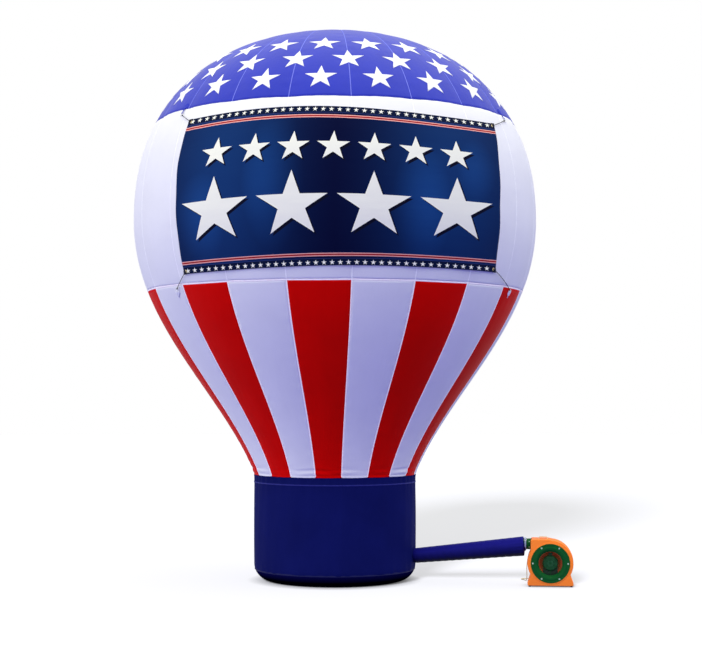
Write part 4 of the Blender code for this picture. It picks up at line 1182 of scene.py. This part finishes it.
def sleeve_strap():
    """The webbing strap round the cuff, with its doubled tail and its buckle."""
    webbing = webbing_material("strap_webbing_pale", (0.30, 0.37, 0.50))
    steel = metal_material("buckle_steel", (0.70, 0.71, 0.72))
    place = in_blower(DUCT_FACE - COLLAR_SHOWS - 0.002, 0, OUTLET_HEIGHT, "-X")
    inner, outer, width = 0.0652, 0.0690, 0.018
    rib = outer + 0.0003
    low, high = 0.0015, width - 0.0015
    band = [(outer, 0.0005), (rib, low), (outer, 2 * low), (outer, width - 2 * low), (rib, high),
            (outer, width - 0.0005), (outer - 0.001, width), (inner, width), (inner, 0.0),
            (outer - 0.001, 0.0)]
    tail = bmesh.new()
    rows = []
    steps = 14
    for k in range(steps + 1):
        turn = radians(-48 - 62 * k / steps)
        inside = outer + 0.0006 + 0.003 * (k / steps) ** 3
        outside = inside + 0.0016
        section = ((inside, low), (outside, low), (outside, high), (inside, high))
        rows.append([tail.verts.new((radius * cos(turn), radius * sin(turn), level))
                     for radius, level in section])
    bridge(tail, rows, closed=False)
    tail.faces.new(rows[0])
    tail.faces.new(rows[-1][::-1])
    solid_piece("strap_band", [(turned_shape(band, 96), place), (tail, place)], webbing,
                ["sleeve_strap"])
    buckle = around(place, 1, outer + 0.0035, width / 2, -50)[0]
    half, corner = 0.0115, 0.010
    ring = [Vector((0, y, z)) for y, z in
            ((-corner, -half), (corner, -half), (half, -corner), (half, corner),
             (corner, half), (-corner, half), (-half, corner), (-half, -corner))]
    bar = [Vector((0.0012, -0.002, -half)), Vector((0.0012, -0.002, half))]
    solid_piece("strap_buckle", [(tube_shape(ring, 0.0014, 8, closed=True), buckle),
                                 (tube_shape(bar, 0.0012, 8), buckle)], steel)


# The blower

AXIS_TURNS = {"Z": Matrix.Identity(4), "Y": Matrix.Rotation(radians(-90), 4, "X"),
              "-Y": Matrix.Rotation(radians(90), 4, "X"), "-X": Matrix.Rotation(radians(-90), 4, "Y")}


def blower_matrix():
    return Matrix.Translation((*BLOWER_PLACE, 0)) @ Matrix.Rotation(radians(BLOWER_YAW), 4, "Z")


def in_blower(x, y, z, axis="Z"):
    """A place in the blower's frame, with the shape's own Z along the named axis."""
    return blower_matrix() @ Matrix.Translation((x, y, z)) @ AXIS_TURNS[axis]


def screw_shapes(places, radius):
    """Dome-headed screws with washers, one at each place, along the place's own Z."""
    seat, dome = 0.0016, radius * 0.55
    washer = [(0, 0), (radius * 1.45, 0), (radius * 1.45, 0.0012), (radius * 1.35, seat), (0, seat)]
    head = [(0, 0.0005), (radius, 0.0005)]
    head += [(radius * x, seat + dome * y) for x, y in arc((0, 0), 1, 0, 90, 5)[:-1]]
    head.append((0, seat + dome))
    return [(turned_shape(profile, 24, closed=False), place)
            for place in places for profile in (washer, head)]


def eased(outline, reach, steps=5):
    """The outline with each sharp corner rounded, starting a reach away from it."""
    result = []
    points = [Vector(point) for point in outline]
    for before, here, after in zip(points[-1:] + points[:-1], points, points[1:] + points[:1]):
        if (here - before).angle(after - here) < radians(30):
            result.append(tuple(here))
            continue
        start, end = (here + (other - here).normalized() * min(reach, (other - here).length * 0.6)
                      for other in (before, after))
        for k in range(steps + 1):
            share = k / steps
            result.append(tuple(start.lerp(here, share).lerp(here.lerp(end, share), share)))
    return result


def housing_outline():
    """The scroll with its duct and pedestal, anticlockwise seen from the back, about the wheel's axis."""
    waist_angle = degrees(asin(WAIST_DROP / HOUSING_RADIUS))
    drop = AXIS_HEIGHT - FOOT_HEIGHT - SEAT_GAP
    outline = [(DUCT_FACE, DUCT_TOP), (-0.02, DUCT_TOP)]
    outline += arc((0, 0), HOUSING_RADIUS, 84, -waist_angle, 40)
    outline += [(PEDESTAL_HALF_WIDTH, -drop), (-PEDESTAL_HALF_WIDTH, -drop)]
    outline += arc((0, 0), HOUSING_RADIUS, 180 + waist_angle, 148, 20)
    return eased(outline + [(DUCT_FACE, DUCT_BOTTOM)], CORNER_REACH)


def cut_shape(part, cutters):
    """The part with its cutters taken out of it, as a bmesh. All are given as meshes."""
    collection = bpy.context.scene.collection
    solids = [bpy.data.objects.new("cut", mesh) for mesh in (part, *cutters)]
    for solid in solids:
        collection.objects.link(solid)
    for cutter in solids[1:]:
        cut = solids[0].modifiers.new("cut", "BOOLEAN")
        cut.operation = "DIFFERENCE"
        cut.object = cutter
    bpy.context.view_layer.update()
    shape = bmesh.new()
    shape.from_object(solids[0], bpy.context.evaluated_depsgraph_get())
    for solid in solids:
        bpy.data.objects.remove(solid)
    return shape


def blower_housing(orange):
    """The moulded scroll: hollow, open at inlet and outlet, with a parting rib, rim boss and back ribs."""
    upright = Matrix.Translation((0, 0, AXIS_HEIGHT)) @ AXIS_TURNS["-Y"]
    outline = housing_outline()
    body = mesh_of(slab_shape(outline, HOUSING_DEPTH, HOUSING_ROUNDING, 5), upright)
    inner_depth = HOUSING_DEPTH - 2 * HOUSING_WALL
    inside = Matrix.Translation((0, inner_depth / 2, 0)) @ upright
    outlet = Matrix.Translation((DUCT_FACE, 0, OUTLET_HEIGHT)) @ AXIS_TURNS["-X"]
    cutters = []
    for radius, low, high, steps, place in ((HOUSING_RADIUS - HOUSING_WALL, 0, inner_depth, 96, inside),
                                            (EYE_RADIUS + 0.035, 0, HOUSING_DEPTH, 96, upright),
                                            (COLLAR_RADIUS + SEAT_GAP, -0.1, 0.1, 64, outlet)):
        hole = [(0, low), (radius, low), (radius, high), (0, high)]
        cutters.append(mesh_of(turned_shape(hole, steps, closed=False), place))
    front = in_blower(0, -HOUSING_DEPTH / 2, AXIS_HEIGHT, "-Y")
    back = in_blower(0, HOUSING_DEPTH / 2, AXIS_HEIGHT, "Y")
    boss = [(0.2095, -0.002), (0.2095, 0.0035), (0.2110, 0.0050), (0.2210, 0.0050), (0.2240, 0.0035),
            (0.2260, -0.002)]
    shapes = [(cut_shape(body, cutters), blower_matrix()), (turned_shape(boss, 96), front)]
    sunk, high = -0.002, 0.003
    for radius in BACK_RIBS:
        rib = [(radius - 0.005, sunk), (radius - 0.003, high), (radius + 0.003, high), (radius + 0.005, sunk)]
        shapes.append((turned_shape(rib, 96), back))
    start, end = BACK_RIBS[0] + 0.002, BACK_RIBS[-1] - 0.001
    for place in around(back, 8, start=22.5):
        shapes.append((box_shape((start, -0.004, sunk), (end, 0.004, high), 0.001, 2), place))
    first = next(k for k, point in enumerate(outline) if point[0] > -0.02)
    parting = [Vector((x, 0, AXIS_HEIGHT + y)) for x, y in outline[first:-2]]
    shapes.append((tube_shape(parting, 0.0030, 8), blower_matrix()))
    solid_piece("scroll_housing", shapes, orange, ["blower_housing"], angle=40)


def blower_cover(green, steel):
    """The inlet plate: rolled rim, a raised ring, a dished mouth and six screws."""
    top, sunk, raised = COVER_THICKNESS, COVER_THICKNESS - 0.0018, COVER_THICKNESS + 0.0015
    rim = arc((COVER_RADIUS - 0.004, COVER_THICKNESS - 0.004), 0.004, 0, 90, 5)
    profile = [(COVER_RADIUS, 0.0), *rim, (0.1990, top), (0.1975, sunk), (0.1790, sunk), (0.1775, top),
               (0.1720, raised), (0.1660, raised), (0.1620, top), (0.1540, top - 0.001),
               (0.1470, 0.0060), (0.1400, -0.0020), (0.1340, -0.0090), (0.1300, -0.0130),
               (EYE_RADIUS, -0.0145), (EYE_RADIUS, -0.0200), (0.1600, -0.0002), (0.1700, 0.0)]
    front = in_blower(0, -HOUSING_DEPTH / 2 - SEAT_GAP, AXIS_HEIGHT, "-Y")
    solid_piece("inlet_plate", [(turned_shape(profile, 120), front)], green, ["inlet_cover"])
    seats = around(front, 6, SCREW_CIRCLE, sunk)
    solid_piece("cover_screws", screw_shapes(seats, 0.0064), steel)


def blower_grille(green):
    """The finger guard: round wire hoops on three crossing spokes."""
    place = in_blower(0, GRILLE_SETBACK - HOUSING_DEPTH / 2 - 0.0018, AXIS_HEIGHT, "-Y")
    shapes = [(hoop_shape(radius, GRILLE_WIRE), place) for radius in GRILLE_RINGS]
    spoke = [Vector((x, 0, -0.0012)) for x in (-GRILLE_RINGS[0], 0, GRILLE_RINGS[0])]
    shapes += [(tube_shape(spoke, GRILLE_WIRE, 10), turned) for turned in around(place, 6, start=30)[:3]]
    solid_piece("guard_wires", shapes, green, ["inlet_grille"])


def blower_motor(paint, black):
    """The motor in the eye: a finned drum with a stepped end bell, its bolts and its box."""
    front = in_blower(0, MOTOR_FRONT, AXIS_HEIGHT, "Y")
    length = MOTOR_BACK - MOTOR_FRONT
    bell = [(0, 0.001), (0.018, 0.001), (0.020, 0.0), (0.034, 0.0), (0.038, 0.004), (0.060, 0.006),
            (0.072, 0.009), (0.0775, 0.014), (0.0790, 0.020), (0.0790, 0.026), (0.0740, 0.028),
            (0.0740, 0.112), (0.0800, 0.114), (0.0800, length), (0.012, length), (0.012, 0.105), (0, 0.105)]
    shapes = [(turned_shape(bell, 96, closed=False), front)]
    for place in around(front, 36):
        shapes.append((box_shape((0.072, -0.0018, 0.024), (MOTOR_RADIUS, 0.0018, 0.116), 0.0008, 2), place))
    for place in around(front, 8, start=22.5):
        shapes.append((box_shape((0.040, -0.0022, 0.0015), (0.060, 0.0022, 0.0080), 0.0009, 2), place))
    solid_piece("finned_motor", shapes, paint, ["motor"])
    seats = [place @ Matrix.Rotation(pi, 4, "X") for place in around(front, 4, 0.0665, 0.0085, 45)]
    solid_piece("motor_bolts", screw_shapes(seats, 0.0035), black)
    low = AXIS_HEIGHT + MOTOR_RADIUS + SEAT_GAP
    high = low + 0.0275
    box = [(box_shape((-0.020, -0.123, low), (0.020, -0.062, low + 0.021), 0.003), blower_matrix()),
           (box_shape((-0.022, -0.125, low + 0.0195), (0.022, -0.060, high), 0.0025), blower_matrix())]
    solid_piece("motor_box", box, black, ["terminal_box"])
    seats = [in_blower(x, y, high) for x in (-0.016, 0.016) for y in (-0.118, -0.067)]
    solid_piece("box_screws", screw_shapes(seats, 0.0026), black)


def blower_outlet(green, steel):
    """The round spigot with its end bead and the screws that hold it in the duct."""
    inner, bead = COLLAR_RADIUS - COLLAR_WALL, COLLAR_RADIUS + 0.0012
    profile = [(COLLAR_RADIUS, -0.030), (COLLAR_RADIUS, 0.079), (bead, 0.081), (bead, 0.083),
               (COLLAR_RADIUS - 0.001, COLLAR_LENGTH), (inner + 0.001, COLLAR_LENGTH), (inner, 0.083),
               (inner, -0.030)]
    flange = [(COLLAR_RADIUS - 0.0005, SEAT_GAP), (COLLAR_RADIUS + 0.004, SEAT_GAP),
              (COLLAR_RADIUS + 0.004, 0.003), (COLLAR_RADIUS - 0.0005, 0.004)]
    place = in_blower(DUCT_FACE, 0, OUTLET_HEIGHT, "-X")
    solid_piece("spigot", [(turned_shape(profile, 72), place), (turned_shape(flange, 72), place)], green,
                ["outlet_collar"])
    outward = Matrix.Rotation(radians(90), 4, "Y")
    seats = [seat @ outward for seat in around(place, 6, COLLAR_RADIUS - 0.0004, 0.016)]
    solid_piece("spigot_screws", screw_shapes(seats, 0.0045), steel)


def blower_feet(rubber):
    """Rubber feet with a rounded tread and a sunk middle, at the pedestal's four corners."""
    radius = FOOT_RADIUS
    profile = [(0, 0.0040), (0.0045, 0.0040), (0.0050, 0.0012), (0.0062, 0.0), (radius - 0.003, 0.0),
               (radius - 0.0008, 0.0010), (radius, 0.0035), (radius * 0.93, 0.0075),
               (radius * 0.88, FOOT_HEIGHT), (0, FOOT_HEIGHT)]
    for side, x in (("left", -FOOT_X), ("right", FOOT_X)):
        for end, y in (("front", -FOOT_Y), ("back", FOOT_Y)):
            foot = (turned_shape(profile, 40, closed=False), in_blower(x, y, 0))
            solid_piece(f"rubber_foot_{end}_{side}", [foot], rubber, [f"foot_{end}_{side}"])


def blower_handle(cream):
    """The small carrying handle on the housing's top."""
    outline = [(0.055, 0.0), (0.055, 0.008), (0.040, 0.024), (-0.040, 0.024), (-0.055, 0.008), (-0.055, 0.0),
               (-0.038, 0.0), (-0.032, 0.015), (0.032, 0.015), (0.038, 0.0)]
    place = in_blower(-0.075, 0, AXIS_HEIGHT + DUCT_TOP + SEAT_GAP, "-Y")
    solid_piece("lifting_grip", [(slab_shape(outline, 0.022, 0.0028, 4), place)], cream,
                ["carry_handle"])


def strain_relief():
    """The tapered and ribbed relief that the cord leaves the housing through."""
    rubber = plastic_material("relief_rubber", BLACK, 0.65, 0.0004)
    ribs, pitch = 7, 0.0042
    profile = [(0, 0.0), (0.0110, 0.0), (0.0110, 0.0050), (0.0100, 0.0060)]
    for k in range(ribs):
        start = 0.0075 + k * pitch
        radius = 0.0098 - 0.0006 * k
        profile += [(radius - 0.0012, start), (radius, start + 0.0006), (radius - 0.0002, start + 0.0026),
                    (radius - 0.0014, start + 0.0032)]
    profile += [(0.0055, 0.0385), (0.0050, GLAND_LENGTH), (0, GLAND_LENGTH)]
    x, rise = GLAND_PLACE
    place = in_blower(x, HOUSING_DEPTH / 2 + SEAT_GAP, AXIS_HEIGHT + rise, "Y")
    return solid_piece("cord_relief", [(turned_shape(profile, 32, closed=False), place)], rubber,
                       ["cord_gland"], angle=50)


def dress_node(name, material):
    """Gives a node that keeps its shape its material."""
    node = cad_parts[name]
    for slot in node.material_slots:
        slot.material = material
    return node


def blower():
    """The blower's pieces. Its cradle and wheel keep their shape and get softened edges."""
    green = plastic_material("plastic_green", MOULDED_GREEN, gloss=0.07)
    black = plastic_material("plastic_black", (0.016, 0.016, 0.018), 0.42)
    brown = plastic_material("wheel_brown", WHEEL_BROWN, 0.5)
    steel = metal_material("steel_bright", (0.34, 0.46, 0.40))
    # The orange housing gets a painted glow that brightens its orange
    blower_housing(plastic_material("plastic_orange", ORANGE, 0.40, painted_glow=0.10))
    blower_cover(green, steel)
    blower_grille(green)
    blower_motor(plastic_material("motor_paint", MOTOR_GREEN, 0.45), black)
    blower_outlet(green, steel)
    blower_feet(plastic_material("rubber_black", BLACK, 0.65, 0.0004))
    blower_handle(plastic_material("handle_cream", CREAM, 0.45))
    for name, material in (("motor_cradle", black), ("impeller", brown)):
        edge = dress_node(name, material).modifiers.new("edge", "BEVEL")
        edge.width = 0.0008
        edge.segments = 2
        edge.limit_method = "ANGLE"
        edge.angle_limit = radians(50)


# The floor, the light and the camera

# Soft lights all round: where each one's middle is, how narrow it is, and its colour
SOFT_LIGHTS = (
    ((0.0, 0.0, 1.0), 2.0, (1.85, 1.82, 1.20)), ((-1.0, -0.25, 0.15), 4.0, (1.32, 1.38, 1.20)),
    ((-0.7, -0.2, 0.75), 4.0, (0.30, 0.28, 0.18)), ((0.8, -0.1, 0.85), 4.0, (1.42, 1.48, 1.32)),
    ((0.0, -0.8, 0.7), 4.0, (0.30, 0.30, 0.05)), ((0.0, -1.0, 0.20), 6.0, (0.55, 0.57, 0.72)),
    ((-0.4, -0.7, -0.6), 3.0, (0.05, 0.01, 0.18)), ((0.0, 1.0, 0.2), 2.0, (0.32, 0.32, 0.25)),
)
SHADE_COLOUR = (0.015, 0.02, 0.37)
FLOOR_SIZE = 120
FLOOR_COLOUR = (0.150, 0.152, 0.170)
FLOOR_GLOW = 0.55
FLOOR_SHADE = 0.10
CONTACT_REACH = 0.16
SUN_ELEVATION = 21.5
SUN_AZIMUTH = 197
SUN_STRENGTH = 15.5
SUN_WIDTH = 14


def soft_world():
    """The room: white behind the object, and soft lights that the object sees."""
    world = bpy.data.worlds.new("soft_room")
    world.use_nodes = True
    bpy.context.scene.world = world
    nodes = Nodes(world.node_tree)
    direction = nodes.coordinates("Generated")
    light = SHADE_COLOUR
    for axis, sharpness, colour in SOFT_LIGHTS:
        facing = nodes.math("DOT_PRODUCT", direction, Vector(axis).normalized(), kind="VectorMath")
        lit = nodes.math("POWER", nodes.math("MAXIMUM", facing, 0.0), sharpness)
        light = nodes.math("MULTIPLY_ADD", lit, colour, light, kind="VectorMath")
    behind = nodes.node("LightPath").outputs["Is Camera Ray"]
    nodes.set(nodes.tree.nodes["Background"], "Color", nodes.mix(behind, light, (1, 1, 1)))


def studio():
    """A pale floor that glows to white but for soft shadows, and the low sun that casts one on it."""
    bpy.context.scene.view_settings.view_transform = "Standard"
    bpy.ops.mesh.primitive_plane_add(size=FLOOR_SIZE, location=(0, 0, -0.0005))
    floor = bpy.context.object
    floor.name = "floor"
    shader = Shader("floor_pale", FLOOR_COLOUR, 1.0, gloss=0.0)
    # Painted contact shadow: the floor's glow drops from FLOOR_GLOW to FLOOR_SHADE where objects stand close
    # over it
    occlusion = shader.node("AmbientOcclusion", Distance=CONTACT_REACH).outputs["AO"]
    shader.look(Emission_Color=(1.0, 1.0, 1.0, 1.0),
                Emission_Strength=shader.ramp(occlusion, 0.0, 0.9, FLOOR_SHADE, FLOOR_GLOW))
    floor.data.materials.append(shader.material)
    floor.visible_diffuse = False
    soft_world()

    sun = bpy.data.lights.new("low_sun", "SUN")
    sun.energy = SUN_STRENGTH
    sun.angle = radians(SUN_WIDTH)
    low_sun = bpy.data.objects.new("low_sun", sun)
    rise, turn = radians(SUN_ELEVATION), radians(SUN_AZIMUTH)
    towards = Vector((cos(rise) * sin(turn), cos(rise) * cos(turn), sin(rise)))
    low_sun.rotation_euler = towards.to_track_quat("Z", "Y").to_euler()
    bpy.context.scene.collection.objects.link(low_sun)
    lit_by_sun = bpy.data.collections.new("lit_by_low_sun")
    lit_by_sun.objects.link(floor)
    low_sun.light_linking.receiver_collection = lit_by_sun


def camera():
    """The camera that took the photograph."""
    lens = bpy.data.cameras.new("camera")
    lens.sensor_width = 36.0
    lens.lens = FOCAL_PIXELS * lens.sensor_width / PHOTO_WIDTH
    view = bpy.data.objects.new("camera", lens)
    view.location = CAMERA_PLACE
    view.rotation_euler = (radians(90 + CAMERA_PITCH), 0, radians(-CAMERA_YAW))
    bpy.context.scene.collection.objects.link(view)
    bpy.context.scene.camera = view


# The power cord

def smooth_route(points, steps):
    """Points along a Catmull-Rom curve through the given ones."""
    ends = [2 * points[0] - points[1], *points, 2 * points[-1] - points[-2]]
    route = [points[0]]
    for a, b, c, d in zip(ends, ends[1:], ends[2:], ends[3:]):
        for k in range(1, steps + 1):
            t = k / steps
            route.append(0.5 * (2 * b + (c - a) * t + (2 * a - 5 * b + 4 * c - d) * t ** 2
                                + (3 * b - a - 3 * c + d) * t ** 3))
    return route


def coil_route():
    """The coil's turns, clockwise from above, from where the lead reaches it to where it leaves."""
    turns = [row[0] for row in COIL_LAY]
    middle_x, middle_y = COIL_CENTRE
    route = []
    for k in range(1, round(turns[-1] * COIL_STEPS_PER_TURN) + 1):
        done = k / COIL_STEPS_PER_TURN
        index = next(i for i, turn in enumerate(turns) if turn >= done)
        span = (done - turns[index - 1]) / (turns[index] - turns[index - 1])
        ease = (1 - cos(pi * span)) / 2
        radius, level = (COIL_LAY[index - 1][j] + ease * (COIL_LAY[index][j] - COIL_LAY[index - 1][j])
                         for j in (1, 2))
        angle = pi / 2 - 2 * pi * done
        route.append(Vector((middle_x + radius * cos(angle), middle_y + radius * sin(angle), level)))
    return route


def power_cord():
    """The lead from the relief to the floor, the coil's turns and the last stretch to the plug."""
    lead = smooth_route([Vector(point) for point in CORD_ROUTE], 3)
    exit_x = COIL_CENTRE[0] + COIL_LAY[-1][1]
    tail = [Vector((exit_x - 0.0005, 0.408, 0.0128)), Vector((0.0652, 0.393, 0.0120)),
            Vector((*PLUG_PLACE, 0.0112)), Vector((PLUG_PLACE[0], PLUG_PLACE[1] - 0.006, 0.0110))]
    to_world = blower_matrix()
    route = [to_world @ point for point in (*lead, *coil_route(), *tail)]
    curve = bpy.data.curves.new("cord_lead", "CURVE")
    curve.dimensions = "3D"
    curve.bevel_depth = CORD_RADIUS
    curve.bevel_resolution = 3
    curve.use_fill_caps = True
    line = curve.splines.new("POLY")
    line.points.add(len(route) - 1)
    for point, place in zip(line.points, route):
        point.co = (*place, 1)
    jacket = Shader("cord_jacket_cream", CORD_CREAM, 0.5)
    jacket.bump(jacket.noise(jacket.coordinates("Object"), 300.0), 0.0003)
    curve.materials.append(jacket.material)
    cord = bpy.data.objects.new("cord_lead", curve)
    bpy.context.scene.collection.objects.link(cord)
    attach(cord, "balloon")
    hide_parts("power_cord", "cord_coil")
    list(plug_pieces())
    coil_tie()
    strain_relief()


# The plug and the coil's tie

def plug_block(half, along, level, rounding, steps=3, side=0.0):
    """A box of half a width about the plug's middle or to one side of it, with its two ends and levels."""
    x, back = PLUG_PLACE
    low = (x + side - half, back + along[0], level[0])
    high = (x + side + half, back + along[1], level[1])
    return box_shape(low, high, rounding, steps), blower_matrix()


def plug_pieces():
    """The moulded plug with its grip ribs, its two blades and its round earth pin."""
    rubber = plastic_material("plug_rubber", BLACK, 0.6)
    steel = metal_material("pin_steel", (0.72, 0.70, 0.62))
    body = [plug_block(0.0112, (-0.024, 0.0), (0.0022, 0.0188), 0.0048, 4),
            plug_block(0.0130, (-0.026, -0.0225), (0.0003, 0.0200), 0.0014)]
    for start in (-0.019, -0.0148, -0.0106, -0.0064):
        body.append(plug_block(0.0122, (start, start + 0.0020), (0.0045, 0.0165), 0.0008, 2))
    body_piece = solid_piece("plug_body", body, rubber, ["plug"])
    middle = 0.0112
    pins = [plug_block(0.00075, (-0.042, -0.025), (middle - 0.0012, middle + 0.0050), 0.0004, 2, side)
            for side in (-0.0063, 0.0063)]
    x, back = PLUG_PLACE
    earth = [Vector((x, back - away, middle - 0.0062)) for away in (0.0255, 0.0395, 0.0415)]
    pins.append((tube_shape(earth, [0.0023, 0.0023, 0.0012], 16), blower_matrix()))
    return body_piece, solid_piece("plug_pins", pins, steel)


def coil_tie():
    """A wire tie wound twice round the coil's turns, with its ends twisted on top."""
    black = plastic_material("tie_black", BLACK, 0.5)
    place = in_blower(*COIL_CENTRE, 0) @ Matrix.Rotation(radians(215), 4, "Z")
    shapes = []
    for shift in (-0.0012, 0.0012):
        hoop = [Vector((COIL_MIDDLE + 0.0105 * x, shift, 0.0088 + 0.0080 * z)) for x, z in circle(1, 40)]
        shapes.append((tube_shape(hoop, 0.0008, 8, closed=True), place))
    for side in (-1, 1):
        twist = [Vector((COIL_MIDDLE + side * 0.0016 * cos(k / 2), side * 0.0016 * sin(k / 2) + 0.00025 * k,
                         0.0168 + 0.006 * sin(pi * k / 14))) for k in range(13)]
        shapes.append((tube_shape(twist, 0.0007, 6), place))
    return solid_piece("coil_tie", shapes, black)


camera()
power_cord()
envelope()
base()
banner()
banner_corners()
banner_ties()
sleeve()
sleeve_strap()
blower()
dress_node("base_floor", cloth_material("underside_cloth", BLACK))
studio()
